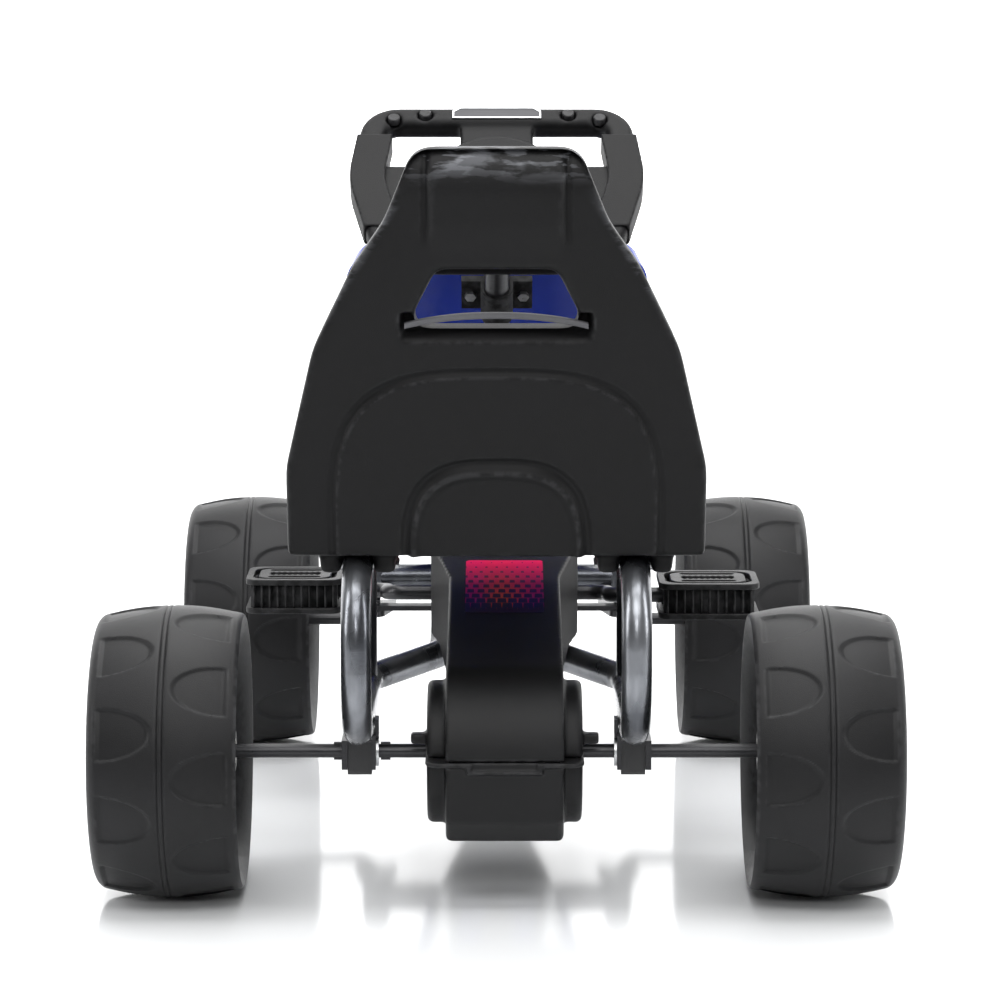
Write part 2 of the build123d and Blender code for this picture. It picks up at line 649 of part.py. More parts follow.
def wheel(side, track, y):
    """A blow-moulded wheel: hollow tyre, dished web near its outer face, deep open inner side."""
    half, radius = WHEEL_WIDTH / 2, WHEEL_DIA / 2
    hub_out = half - HUB_DEPTH
    shoulder = radius - 7
    wall = WHEEL_WALL
    crown = (2 - 11) / 2
    with BuildPart() as moulding:
        with BuildSketch(wheel_plane(side, track, y)):
            with BuildLine():
                ThreePointArc((-half + 2, shoulder), (crown, radius), (half - 11, shoulder))
                Spline(
                    (half - 11, shoulder),
                    (half, shoulder - 14),
                    tangents=((1, -0.12), (0, -1)),
                )
                Polyline(
                    (half, shoulder - 14),
                    (half, DISH_R + 4),
                    (half - 16, DISH_R - 4),
                    (half - 20, DISH_R - 12),
                    (half - 24, BOSS_R + 8),
                    (hub_out, BOSS_R),
                    (hub_out, HUB_BORE_DIA / 2),
                    (-half + 8, HUB_BORE_DIA / 2),
                    (-half + 8, HUB_BORE_DIA / 2 + 6),
                    (half - 32, HUB_BORE_DIA / 2 + 8),
                    (half - 30, 82),
                    (-half + 14, 84),
                    (-half, shoulder - 2),
                    (-half + 2, shoulder),
                )
            make_face()
            with BuildLine():
                inner = (-half + 2 + wall, shoulder - wall)
                ThreePointArc(inner, (crown, radius - wall), (half - 12, shoulder - wall))
                Polyline(
                    (half - 12, shoulder - wall),
                    (half - wall, shoulder - 16),
                    (half - wall, DISH_R + 7),
                    (half - 18, DISH_R - 2),
                    (-half + 16, DISH_R - 4),
                    (-half + 2 + wall, shoulder - wall),
                )
            make_face(mode=Mode.SUBTRACT)
        revolve(axis=Axis((0, y, AXLE_Z), (1, 0, 0)))
    return moulding


def hub_pieces(side, track, y, bore):
    """A wheel's two hub bushes and its snap-on cap."""
    face = track / 2 + WHEEL_WIDTH / 2 - HUB_DEPTH
    back = track / 2 - WHEEL_WIDTH / 2 + 8
    reach = 20
    with BuildPart() as bushes:
        for end, inward in ((face, -1), (back, 1)):
            add(rod(side * end, side * (end + inward * reach), y, AXLE_Z, HUB_BORE_DIA / 2, bore))
    with BuildPart() as cap:
        with BuildSketch(wheel_plane(side, track, y)):
            top = WHEEL_WIDTH / 2 - 1
            low = WHEEL_WIDTH / 2 - HUB_DEPTH
            with BuildLine():
                Polyline(
                    (low, BOSS_R),
                    (low, BOSS_R - 3),
                    (top - 6, BOSS_R - 3),
                    (top - 2.5, BOSS_R - 8),
                    (top - 2.5, 0),
                    (top, 0),
                    (top, BOSS_R - 8),
                    (top - 5, BOSS_R),
                    close=True,
                )
            make_face()
        revolve(axis=Axis((0, y, AXLE_Z), (1, 0, 0)))
    return bushes, cap


for end, track, y in (("rear", REAR_TRACK, REAR_Y), ("front", FRONT_TRACK, FRONT_Y)):
    for name, side in SIDES.items():
        driven = (end, name) == ("rear", "right")
        write(wheel(side, track, y), f"wheel_{end}_{name}")
        bushes, cap = hub_pieces(side, track, y, AXLE_R if driven else AXLE_R + RUNNING)
        write(bushes, f"hub_bushes_{end}_{name}")
        write(cap, f"hub_cap_{end}_{name}")

# ---------------------------------------------------------------- steering knuckles and tie bar
STUB_END = FRONT_TRACK / 2 + WHEEL_WIDTH / 2 - HUB_DEPTH + 5

for name, side in SIDES.items():
    king = (side * KINGPIN_X, FRONT_Y)
    pin = (side * KINGPIN_X, TIE_Y)
    bent_stub = bent_tube(
        [
            (*king, KINGPIN_TOP_Z),
            (*king, AXLE_Z),
            (side * STUB_END, FRONT_Y, AXLE_Z),
        ],
        STUB_BEND,
        AXLE_DIA,
    )
    with BuildPart() as knuckle:
        add(bent_stub.part)
        with BuildSketch(Plane.XY.offset(ARM_TOP_Z - ARM_THICK)):
            with BuildLine():
                Polyline(
                    (king[0] - ARM_WIDTH / 2, king[1] + 14),
                    (king[0] + ARM_WIDTH / 2, king[1] + 14),
                    (king[0] + ARM_WIDTH / 2, king[1] - 8),
                    (pin[0] + 12, pin[1]),
                    (pin[0] - 12, pin[1]),
                    (king[0] - ARM_WIDTH / 2, king[1] - 8),
                    close=True,
                )
            make_face()
            with Locations(pin):
                Circle(12)
        extrude(amount=ARM_THICK)
        add(upright(*pin, ARM_TOP_Z - 1, ARM_TOP_Z + TIE_THICK + 4, TIE_PIN_DIA / 2))
        add(upright(*pin, ARM_TOP_Z + TIE_THICK + 2, ARM_TOP_Z + TIE_THICK + 4, TIE_PIN_DIA / 2 + 3))
    write(knuckle, f"knuckle_{name}")

    nut_low = SLEEVE_HIGH_Z + GAP
    nut_in = FRONT_TRACK / 2 + WHEEL_WIDTH / 2 - HUB_DEPTH + GAP
    with BuildPart() as push_nuts:
        with BuildSketch(Plane.XY.offset(nut_low)):
            with Locations(king):
                RegularPolygon(9.5, 6)
                Circle(AXLE_R, mode=Mode.SUBTRACT)
        extrude(amount=KINGPIN_TOP_Z - nut_low - 2)
        add(rod(side * nut_in, side * (nut_in + 3), FRONT_Y, AXLE_Z, WASHER_R, AXLE_R))
    write(push_nuts, f"push_nuts_{name}")

SLOT_SHIFT = 2.2
with BuildPart() as tie_bar:
    with BuildSketch(Plane.XY.offset(TIE_Z - TIE_THICK / 2)):
        with Locations((0, TIE_Y)):
            SlotCenterToCenter(2 * KINGPIN_X, TIE_WIDTH)
        with Locations((0, TIE_Y + SLOT_SHIFT)):
            RectangleRounded(30, 36, 8)
            RectangleRounded(13, 22, 5, mode=Mode.SUBTRACT)
        with Locations((-KINGPIN_X, TIE_Y)):
            Circle(TIE_PIN_DIA / 2 + RUNNING, mode=Mode.SUBTRACT)
        with Locations((KINGPIN_X, TIE_Y)):
            Circle(TIE_PIN_DIA / 2 + 1.5 * GAP, mode=Mode.SUBTRACT)
    extrude(amount=TIE_THICK)
write(tie_bar, "tie_bar")

# ---------------------------------------------------------------- steering post and bearings
post_round = column_round(POST_OFFSET, POST_TOP, BEAM_DOWN, POST_DIA / 2)
with BuildPart() as steering_post:
    add(post_round)
    add(column_round(POST_OFFSET, POST_TOP - 1, BEAM_DOWN, POST_DIA / 2 - TUBE_WALL), mode=Mode.SUBTRACT)
    add(beam_round, mode=Mode.SUBTRACT)
write(steering_post, "steering_post")

BEARING_DOWN = PITMAN_TOP - 10
BEARING_THICK = 14
with BuildPart() as lower_bearing:
    with BuildSketch(COLUMN.offset(-BEARING_DOWN)):
        Circle(COLUMN_ROD_DIA / 2 + 9)
        with Locations((0, POST_OFFSET)):
            Circle(POST_DIA / 2 + 5)
        make_hull()
    extrude(amount=BEARING_THICK)
    add(post_round, mode=Mode.SUBTRACT)
    add(column_round(0, 0, BEAM_DOWN, COLUMN_ROD_DIA / 2 + RUNNING), mode=Mode.SUBTRACT)
write(lower_bearing, "lower_bearing")

strap_low = STRAP_AT + STRAP_LENGTH / 2
strap_face = COLUMN_DIA / 2 + 2 * GAP
strap_r = COLUMN_DIA / 2 + GAP
plate_half = STRAP_BOLT_X + 8.5
with BuildPart() as head_plate:
    with BuildSketch(COLUMN.offset(-strap_low)):
        with Locations((0, strap_face + (HEAD_PLATE_THICK + 1) / 2)):
            Rectangle(2 * plate_half, HEAD_PLATE_THICK + 1)
    extrude(amount=STRAP_LENGTH)
    add(post_round, mode=Mode.SUBTRACT)
write(head_plate, "head_plate")

with BuildPart() as column_strap:
    with BuildSketch(COLUMN.offset(-strap_low)):
        Circle(strap_r + STRAP_THICK)
        with Locations((0, strap_face / 2)):
            Rectangle(2 * (strap_r + STRAP_THICK), strap_face)
        with Locations((0, strap_face - STRAP_THICK / 2)):
            Rectangle(2 * plate_half, STRAP_THICK)
        with Locations((0, strap_face + 10)):
            Rectangle(200, 20, mode=Mode.SUBTRACT)
        Circle(strap_r, mode=Mode.SUBTRACT)
        with Locations((0, strap_face / 2)):
            Rectangle(2 * strap_r, strap_face, mode=Mode.SUBTRACT)
    extrude(amount=STRAP_LENGTH)
write(column_strap, "column_strap")

bolt_plane = Plane(
    origin=COLUMN.offset(-STRAP_AT).from_local_coords((0, strap_face - STRAP_THICK, 0)),
    x_dir=(1, 0, 0),
    z_dir=COLUMN.y_dir,
)
with BuildPart() as strap_bolts:
    with BuildSketch(bolt_plane):
        with GridLocations(2 * STRAP_BOLT_X, 1, 2, 1):
            RegularPolygon(5.5, 6)
    extrude(amount=-4)
write(strap_bolts, "strap_bolts")

# ---------------------------------------------------------------- steering column and wheel
pitman_low = PITMAN_TOP + PITMAN_THICK
with BuildPart() as steering_column:
    add(column_round(0, COLUMN_TOP, COLUMN_STEP, COLUMN_DIA / 2))
    add(column_round(0, COLUMN_TOP - 1, COLUMN_STEP - 20, COLUMN_DIA / 2 - 2), mode=Mode.SUBTRACT)
    add(column_round(0, COLUMN_STEP - 10, pitman_low, COLUMN_ROD_DIA / 2))
    with BuildSketch(COLUMN.offset(-pitman_low)):
        Circle(13)
        with Locations((0, PIN_OFFSET)):
            Circle(9.5)
        make_hull()
    extrude(amount=PITMAN_THICK)
    add(column_round(PIN_OFFSET, pitman_low - 1, PIN_DOWN + 12, TIE_PIN_DIA / 2))
write(steering_column, "steering_column")

RIM_TOP = 86
RIM_BOTTOM = -125
SPOKE_TOP_WIDTH = 67
SPOKE_SIDE = (-40, 8)
HUB_R = 58
HUB_V = -15
BOSS_DOWN = 42


def rim_outline(grow):
    """The steering wheel's outline: flat on top, widest at the spokes and round at the bottom."""
    wide = RIM_HALF_WIDTH + 1
    with BuildSketch() as outline:
        with BuildLine():
            FilletPolyline(
                (-wide + 12, RIM_TOP),
                (wide - 12, RIM_TOP),
                (wide, -13),
                (wide - 27, RIM_BOTTOM),
                (-wide + 27, RIM_BOTTOM),
                (-wide, -13),
                radius=(36, 36, 120, 58, 58, 120),
                close=True,
            )
        make_face()
        if grow:
            offset(amount=grow, mode=Mode.REPLACE)
    return outline.sketch


BUTTONS = {
    "outer_left": (-95, 68),
    "inner_left": (-66, 74),
    "inner_right": (66, 74),
    "outer_right": (95, 68),
}
BUTTON_PROUD = 2.5
BUTTON_DEEP = 4
RECESS_DEEP = 7
STEM_R = 2

with BuildPart() as steering_wheel:
    with BuildSketch(COLUMN.offset(-RIM_DEPTH / 2)):
        add(rim_outline(0))
        add(rim_outline(-RIM_FACE), mode=Mode.SUBTRACT)
    extrude(amount=RIM_DEPTH)
    fillet(steering_wheel.edges().filter_by(lambda e: abs(e.tangent_at(0.5).dot(COLUMN.z_dir)) < 0.01), 6)
    with BuildSketch(COLUMN.offset(-RIM_DEPTH / 2 + 3)):
        with Locations((0, HUB_V)):
            Circle(HUB_R)
        with Locations((0, (RIM_TOP - RIM_FACE) / 2 + 20)):
            Rectangle(SPOKE_TOP_WIDTH, RIM_TOP - RIM_FACE - 30)
        with Locations((0, sum(SPOKE_SIDE) / 2)):
            Rectangle(2 * (RIM_HALF_WIDTH - RIM_FACE + 8), SPOKE_SIDE[1] - SPOKE_SIDE[0])
    extrude(amount=RIM_DEPTH - 7)
    add(column_round(0, 0, BOSS_DOWN, 20))
    add(column_round(0, COLUMN_TOP, BOSS_DOWN + 1, COLUMN_DIA / 2), mode=Mode.SUBTRACT)
    with BuildSketch(COLUMN.offset(RIM_DEPTH / 2)):
        with Locations(*BUTTONS.values()):
            Circle(BUTTON_RECESS_DIA / 2)
    extrude(amount=-RECESS_DEEP, mode=Mode.SUBTRACT)
    with BuildSketch(COLUMN.offset(RIM_DEPTH / 2 - RECESS_DEEP)):
        with Locations(*BUTTONS.values()):
            Circle(STEM_R + RUNNING)
    extrude(amount=-6, mode=Mode.SUBTRACT)
write(steering_wheel, "steering_wheel")

PAD_HEIGHT = 9
with BuildPart() as hub_pad:
    with BuildSketch(COLUMN.offset(RIM_DEPTH / 2 - 4)):
        with Locations((0, HUB_V)):
            Circle(HUB_R - 1)
    extrude(amount=PAD_HEIGHT)
    fillet(hub_pad.edges().sort_by(Axis(COLUMN.origin, COLUMN.z_dir))[-1], 7)
write(hub_pad, "hub_pad")

with BuildPart() as badge_plate:
    with BuildSketch(COLUMN.offset(RIM_DEPTH / 2)):
        with BuildLine():
            Polyline((-41, 68), (41, 68), (41, 78), (35, 83), (-35, 83), (-41, 78), close=True)
        make_face()
    extrude(amount=1.5)
write(badge_plate, "badge_plate")

GRIP_V = (-80, 45)
for name, side in SIDES.items():
    with BuildPart() as grip:
        with BuildSketch(COLUMN.offset(-RIM_DEPTH / 2 - GRIP_EXTRA)):
            add(rim_outline(GRIP_EXTRA))
            add(rim_outline(-RIM_FACE - 7), mode=Mode.SUBTRACT)
            with Locations((side * 120, sum(GRIP_V) / 2)):
                Rectangle(90, GRIP_V[1] - GRIP_V[0], mode=Mode.INTERSECT)
        extrude(amount=RIM_DEPTH + 2 * GRIP_EXTRA)
        add(steering_wheel.part, mode=Mode.SUBTRACT)
    write(grip, f"grip_{name}")

for name, place in BUTTONS.items():
    with BuildPart() as button:
        with BuildSketch(COLUMN.offset(RIM_DEPTH / 2 - BUTTON_DEEP)):
            with Locations(place):
                Circle(BUTTON_DIA / 2)
        extrude(amount=BUTTON_DEEP + BUTTON_PROUD)
        with BuildSketch(COLUMN.offset(RIM_DEPTH / 2 - BUTTON_DEEP)):
            with Locations(place):
                Circle(STEM_R)
        extrude(amount=-6)
        chamfer(button.edges().sort_by(Axis(COLUMN.origin, COLUMN.z_dir))[-1], 0.8)
    write(button, f"button_{name}")

# ---------------------------------------------------------------- front shield and nose skirt
SHIELD_TOP = (REAR_Y + 440, 530)
SHIELD_TIP = (FRONT_Y + NOSE_OVERHANG, 131)
SHIELD_DEPTH = 30
SHIELD_WALL = 3.5
SHIELD_SPLIT = 440
slope = Vector(0, SHIELD_TIP[0] - SHIELD_TOP[0], SHIELD_TIP[1] - SHIELD_TOP[1])
SHIELD_LENGTH = slope.length
up_slope = slope.normalized() * -1
rearward = Vector(1, 0, 0).cross(up_slope)
shield_front = Plane(origin=(0, *SHIELD_TOP), x_dir=(1, 0, 0), z_dir=rearward)


def shield_blank(inset):
    """The shield's volume: a tapered slab, widest below its top edge and narrow at the nose."""
    foot = -SHIELD_LENGTH + inset
    with BuildPart() as blank:
        with BuildSketch(shield_front.offset(inset)):
            with BuildLine():
                FilletPolyline(
                    (-132 + inset, -inset),
                    (132 - inset, -inset),
                    (144 - inset, -110),
                    (112 - inset, -310),
                    (17 - inset / 2, foot),
                    (-17 + inset / 2, foot),
                    (-112 + inset, -310),
                    (-144 + inset, -110),
                    radius=(24, 24, 60, 90, 8, 8, 90, 60),
                    close=True,
                )
            make_face()
        extrude(amount=SHIELD_DEPTH - inset + (1 if inset else 0), taper=-18)
    return blank.part


for name, top, bottom in (("front_shield", 50, -SHIELD_SPLIT), ("nose_skirt", -SHIELD_SPLIT, -700)):
    with BuildPart() as panel:
        add(shield_blank(0))
        add(shield_blank(SHIELD_WALL), mode=Mode.SUBTRACT)
        with BuildSketch(shield_front.offset(-50)):
            with Locations((0, (top + bottom) / 2)):
                Rectangle(500, top - bottom)
        extrude(amount=200, mode=Mode.INTERSECT)
    write(panel, name)

BRACKET_DOWNS = (215, 420)
with BuildPart() as shield_brackets:
    for down in BRACKET_DOWNS:
        with BuildSketch(COLUMN.offset(-down)):
            with Locations((0, POST_OFFSET + 40)):
                Rectangle(24, 80)
        extrude(amount=24)
    with BuildSketch(shield_front.offset(SHIELD_WALL)):
        with Locations((0, -300)):
            Rectangle(400, 800)
    extrude(amount=300, mode=Mode.INTERSECT)
    add(post_round, mode=Mode.SUBTRACT)
    with BuildSketch(COLUMN.offset(-BEAM_DOWN)):
        with Locations((0, POST_OFFSET - 25)):
            Rectangle(60, 50)
    extrude(amount=BEAM_DOWN, mode=Mode.SUBTRACT)
write(shield_brackets, "shield_brackets")

# ---------------------------------------------------------------- seat
SEAT_UNDER_Z = RAIL_HIGH_Z + TUBE_R + GAP
FOOT_LOW_Z = 285
HOLE_Z = (500, 549)
HOLE_HALF = (74, 49)
BOLSTER_IN = 122
SIDE = Plane(origin=(0, REAR_Y, 0), x_dir=(0, 1, 0), z_dir=(1, 0, 0))
BACK_FACE = Plane(origin=(0, REAR_Y, 0), x_dir=(1, 0, 0), z_dir=(0, -1, 0))


def seat_blank(inset):
    """The seat's volume: pan and back in one, with raised bolsters, trimmed to its rear outline."""
    low, half = SEAT_UNDER_Z + inset, SEAT_HALF_WIDTH - inset
    with BuildPart() as blank:
        with BuildSketch(SIDE.offset(-half)):
            with BuildLine():
                FilletPolyline(
                    (214 - inset, low),
                    (214 - inset, 324 - inset),
                    (60, 334 - inset),
                    (-14 - inset, 352 - inset),
                    (-108 - inset, SEAT_TOP_Z - inset),
                    (-SEAT_CORNER + inset, SEAT_TOP_Z - inset),
                    (-60 + inset, low),
                    radius=(6, 40, 50, 14, 14),
                )
                Line((-60 + inset, low), (214 - inset, low))
            make_face()
        extrude(amount=2 * half)
        for x in (-half, BOLSTER_IN + inset):
            with BuildSketch(SIDE.offset(x)):
                with BuildLine():
                    FilletPolyline(
                        (200 - inset, low),
                        (200 - inset, 330 - inset),
                        (90, 372 - inset),
                        (30 - inset, 410 - inset),
                        (-62 - inset, 560),
                        (-120 + inset, 560),
                        (-60 + inset, low),
                        radius=(20, 40, 60, 20, 10),
                    )
                    Line((-60 + inset, low), (200 - inset, low))
                make_face()
            extrude(amount=half - BOLSTER_IN - inset)
        with BuildSketch(BACK_FACE.offset(-400)):
            with BuildLine():
                outline = [
                    (175, 270),
                    (175, 380),
                    (151, 482),
                    (117, 552),
                    (92, 588),
                    (67, SEAT_TOP_Z),
                ]
                right = [(x - inset, min(z, SEAT_TOP_Z - inset)) for x, z in outline]
                left = [(-x, z) for x, z in reversed(right)]
                FilletPolyline(*right, *left, radius=(60, 90, 30, 60, 22, 22, 60, 30, 90, 60))
                Line(left[-1], right[0])
            make_face()
        extrude(amount=800, mode=Mode.INTERSECT)
    return blank.part


def hole_round(margin):
    """The hand hole through the back, grown by a margin for the wall round it."""
    with BuildPart() as cut:
        with BuildSketch(BACK_FACE.offset(-60)):
            with BuildLine():
                FilletPolyline(
                    (-HOLE_HALF[0] - margin, HOLE_Z[0] - margin),
                    (HOLE_HALF[0] + margin, HOLE_Z[0] - margin),
                    (HOLE_HALF[1] + margin, HOLE_Z[1] + margin),
                    (-HOLE_HALF[1] - margin, HOLE_Z[1] + margin),
                    radius=10,
                    close=True,
                )
            make_face()
        extrude(amount=300)
    return cut.part


with BuildPart() as seat_hollow:
    add(seat_blank(SEAT_WALL))
    add(hole_round(SEAT_WALL), mode=Mode.SUBTRACT)

CLAMP_Y = (60, 100)
FOOT_X = ((-32, -TUBE_R - 2 * GAP), (TUBE_R + 2 * GAP, 32))
CLAMP_TOP_Z = RAIL_HIGH_Z - TUBE_R - GAP
with BuildPart() as seat_shell:
    add(seat_blank(0))
    add(seat_hollow.part, mode=Mode.SUBTRACT)
    add(hole_round(0), mode=Mode.SUBTRACT)
    for side in SIDES.values():
        for x in FOOT_X:
            foot_x = (side * RAIL_X + x[0], side * RAIL_X + x[1])
            box_between(foot_x, (REAR_Y - 40, REAR_Y + 130), (FOOT_LOW_Z, SEAT_UNDER_Z + 2))
            box_between(foot_x, (REAR_Y + CLAMP_Y[0], REAR_Y + CLAMP_Y[1]), (CLAMP_TOP_Z, SEAT_UNDER_Z))
write(seat_shell, "seat_shell")

with BuildPart() as seat_clamps:
    for side in SIDES.values():
        middle = side * RAIL_X
        clamp_y = (REAR_Y + CLAMP_Y[0], REAR_Y + CLAMP_Y[1])
        box_between((middle - 32, middle + 32), clamp_y, (CLAMP_TOP_Z - 3, CLAMP_TOP_Z))
        for x in FOOT_X:
            head = (middle + sum(x) / 2, sum(clamp_y) / 2)
            add(upright(*head, CLAMP_TOP_Z - 7, CLAMP_TOP_Z - 3, 6))
write(seat_clamps, "seat_clamps")
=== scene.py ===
import json
from math import atan2, cos, pi, radians, sin, sqrt, tau

import bmesh
import bpy
import numpy as np
from mathutils import Matrix, Vector


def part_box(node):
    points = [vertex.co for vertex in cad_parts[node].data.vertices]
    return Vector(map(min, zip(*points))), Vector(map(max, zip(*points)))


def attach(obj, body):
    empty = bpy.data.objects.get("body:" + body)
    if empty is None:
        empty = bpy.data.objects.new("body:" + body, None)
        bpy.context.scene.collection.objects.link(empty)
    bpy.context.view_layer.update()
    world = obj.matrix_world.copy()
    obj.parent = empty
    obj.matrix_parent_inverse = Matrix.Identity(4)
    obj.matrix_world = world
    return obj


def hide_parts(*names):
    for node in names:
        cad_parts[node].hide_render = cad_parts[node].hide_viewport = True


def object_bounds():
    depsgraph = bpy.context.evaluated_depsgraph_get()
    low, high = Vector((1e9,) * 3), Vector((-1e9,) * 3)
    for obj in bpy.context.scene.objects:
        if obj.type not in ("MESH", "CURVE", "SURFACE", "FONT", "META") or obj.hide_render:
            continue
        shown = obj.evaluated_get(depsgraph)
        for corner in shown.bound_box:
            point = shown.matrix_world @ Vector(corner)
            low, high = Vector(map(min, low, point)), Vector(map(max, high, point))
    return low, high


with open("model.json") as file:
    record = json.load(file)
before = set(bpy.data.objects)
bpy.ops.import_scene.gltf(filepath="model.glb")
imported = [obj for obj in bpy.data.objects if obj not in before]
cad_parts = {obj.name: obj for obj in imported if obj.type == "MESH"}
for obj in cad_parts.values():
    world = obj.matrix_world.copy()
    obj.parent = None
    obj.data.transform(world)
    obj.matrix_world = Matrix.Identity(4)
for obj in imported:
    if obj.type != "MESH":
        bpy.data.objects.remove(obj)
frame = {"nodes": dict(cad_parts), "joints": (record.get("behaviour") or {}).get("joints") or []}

cad_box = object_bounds()
scene = bpy.context.scene


# ---------------------------------------------------------------- studio
# A pale glossy floor in front of a glowing white wall, large soft lights over and beside the kart,
# and a long lens behind the rear axle, a little above the seat and tilted down.
FLOOR_COLOUR = (0.86, 0.87, 0.88)
FLOOR_HALF = 14
FLOOR_DROP = 0.0004  # below the wheels
WALL_HALF = 9
WALL_AHEAD = 6
WALL_FOOT = -0.05
WALL_TOP = 8
WALL_GLOW = 1.6
ROOM_LIGHT = 0.16
LAMPS = (  # name, place, size, watts
    ("over", (0.0, 0.0, 2.5), (2.2, 2.4), 88),
    ("over_rear", (0.0, -2.1, 2.3), (2.2, 0.9), 34),
    ("left_strip", (-2.4, -0.7, 1.3), (0.6, 2.0), 30),
    ("right_strip", (2.4, -0.7, 1.3), (0.6, 2.0), 30),
    ("behind_camera", (0.0, -4.6, 2.3), (1.3, 0.9), 45),
)
LAMPS_AIM = Vector((0, 0, 0.25))
CAMERA_SIDE = 0.003
CAMERA_BACK = 3.3  # behind the rear axle
CAMERA_HEIGHT = 0.8151
CAMERA_TILT = 8.152  # degrees below level
LENS = 141.1
SENSOR = 36


def middle(node):
    """The middle of a CAD node's box."""
    low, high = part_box(node)
    return (Vector(low) + Vector(high)) / 2


class Signal:
    """A value inside a material. Arithmetic on it adds Math nodes."""

    def __init__(self, finish, socket):
        self.finish = finish
        self.socket = socket

    def maths(self, operation, *values):
        return self.finish.node("ShaderNodeMath", {"operation": operation}, dict(enumerate(values)))

    def __add__(self, other):
        return self.maths("ADD", self, other)

    def __radd__(self, other):
        return self.maths("ADD", other, self)

    def __sub__(self, other):
        return self.maths("SUBTRACT", self, other)

    def __rsub__(self, other):
        return self.maths("SUBTRACT", other, self)

    def __mul__(self, other):
        return self.maths("MULTIPLY", self, other)

    def __rmul__(self, other):
        return self.maths("MULTIPLY", other, self)

    def __truediv__(self, other):
        return self.maths("DIVIDE", self, other)

    def __rtruediv__(self, other):
        return self.maths("DIVIDE", other, self)

    def __abs__(self):
        return self.maths("ABSOLUTE", self)

    def above(self, edge, soft):
        """0 below an edge and 1 above it, over a soft width."""
        settings = {"interpolation_type": "SMOOTHSTEP"}
        inputs = {"Value": self, "From Min": edge - soft, "From Max": edge + soft}
        return self.finish.node("ShaderNodeMapRange", settings, inputs)


class Finish:
    """One material: its shader and the nodes that feed it."""

    def __init__(self, name, colour, roughness, **sockets):
        self.material = bpy.data.materials.new(name)
        self.material.use_nodes = True
        self.tree = self.material.node_tree
        self.shader = self.tree.nodes["Principled BSDF"]
        self.set("Base Color", (*colour, 1))
        self.set("Roughness", roughness)
        for socket, value in sockets.items():
            self.set(socket.replace("_", " "), value)

    def set(self, socket, value):
        self.feed(self.shader.inputs[socket], value)

    def feed(self, socket, value):
        if isinstance(value, Signal):
            self.tree.links.new(value.socket, socket)
        else:
            socket.default_value = value

    def node(self, kind, settings=None, inputs=None, output=0):
        """Adds a node, its settings first and then its inputs, and gives one of its outputs."""
        made = self.tree.nodes.new(kind)
        for name, value in (settings or {}).items():
            setattr(made, name, value)
        for name, value in (inputs or {}).items():
            self.feed(made.inputs[name], value)
        return Signal(self, made.outputs[output])

    def place(self):
        """Coordinates fixed to the piece, in metres."""
        return self.node("ShaderNodeTexCoord", output="Object")

    def stretched(self, x, y, z):
        """Coordinates scaled along each axis: a small number draws a pattern out that way."""
        return self.node("ShaderNodeMapping", None, {"Vector": self.place(), "Scale": (x, y, z)})

    def noise(self, scale, detail=3.0, place=None):
        inputs = {"Vector": place or self.place(), "Scale": scale, "Detail": detail}
        return self.node("ShaderNodeTexNoise", None, inputs)

    def axis(self, which):
        return self.node("ShaderNodeSeparateXYZ", None, {"Vector": self.place()}, which)

    def edges(self):
        """About 0.5 on flats and over it on outside edges."""
        return self.node("ShaderNodeNewGeometry", output="Pointiness")

    def blend(self, amount, a, b):
        """Mixes two colours. A Mix node takes them at inputs 6 and 7 and gives a colour at output 2."""
        colours = [c if isinstance(c, Signal) else (*c, 1) for c in (a, b)]
        inputs = {0: amount, 6: colours[0], 7: colours[1]}
        return self.node("ShaderNodeMix", {"data_type": "RGBA"}, inputs, 2)

    def bump(self, height, distance):
        inputs = {"Strength": 1.0, "Distance": distance, "Height": height}
        self.set("Normal", self.node("ShaderNodeBump", None, inputs))


def paint(piece, finish):
    """Gives a piece one finish."""
    piece.data.materials.clear()
    piece.data.materials.append(finish.material)


def placed(name, data):
    """A new object in the scene."""
    thing = bpy.data.objects.new(name, data)
    scene.collection.objects.link(thing)
    return thing


def built(name, shape):
    """A new mesh made of a finished bmesh."""
    mesh = bpy.data.meshes.new(name)
    shape.to_mesh(mesh)
    shape.free()
    return mesh


def floor():
    shape = bmesh.new()
    bmesh.ops.create_grid(shape, x_segments=8, y_segments=8, size=FLOOR_HALF)
    sheet = placed("floor", built("floor", shape))
    sheet.location.z = cad_box[0][2] - FLOOR_DROP
    gloss = Finish("floor_gloss", FLOOR_COLOUR, 0.1)
    gloss.set("Roughness", gloss.noise(3.0) * 0.03 + 0.07)
    paint(sheet, gloss)


def backdrop():
    corners = [(-1, WALL_FOOT), (1, WALL_FOOT), (1, WALL_TOP), (-1, WALL_TOP)]
    mesh = bpy.data.meshes.new("backdrop")
    mesh.from_pydata([(side * WALL_HALF, WALL_AHEAD, z) for side, z in corners], [], [(0, 1, 2, 3)])
    wall = placed("backdrop", mesh)
    glow = Finish("backdrop_glow", (1, 1, 1), 0.9)
    glow.set("Emission Color", (1, 1, 1, 1))
    glow.set("Emission Strength", WALL_GLOW)
    paint(wall, glow)


def lights():
    room = bpy.data.worlds.new("room")
    room.use_nodes = True
    light = room.node_tree.nodes["Background"].inputs
    light["Color"].default_value = (1, 1, 1, 1)
    light["Strength"].default_value = ROOM_LIGHT
    scene.world = room
    scene.view_settings.view_transform = "Standard"
    for name, place, size, watts in LAMPS:
        lamp = bpy.data.lights.new(name, "AREA")
        lamp.shape = "RECTANGLE"
        lamp.size, lamp.size_y = size
        lamp.energy = watts
        holder = placed(name, lamp)
        holder.location = place
        holder.rotation_euler = (LAMPS_AIM - Vector(place)).to_track_quat("-Z", "Y").to_euler()


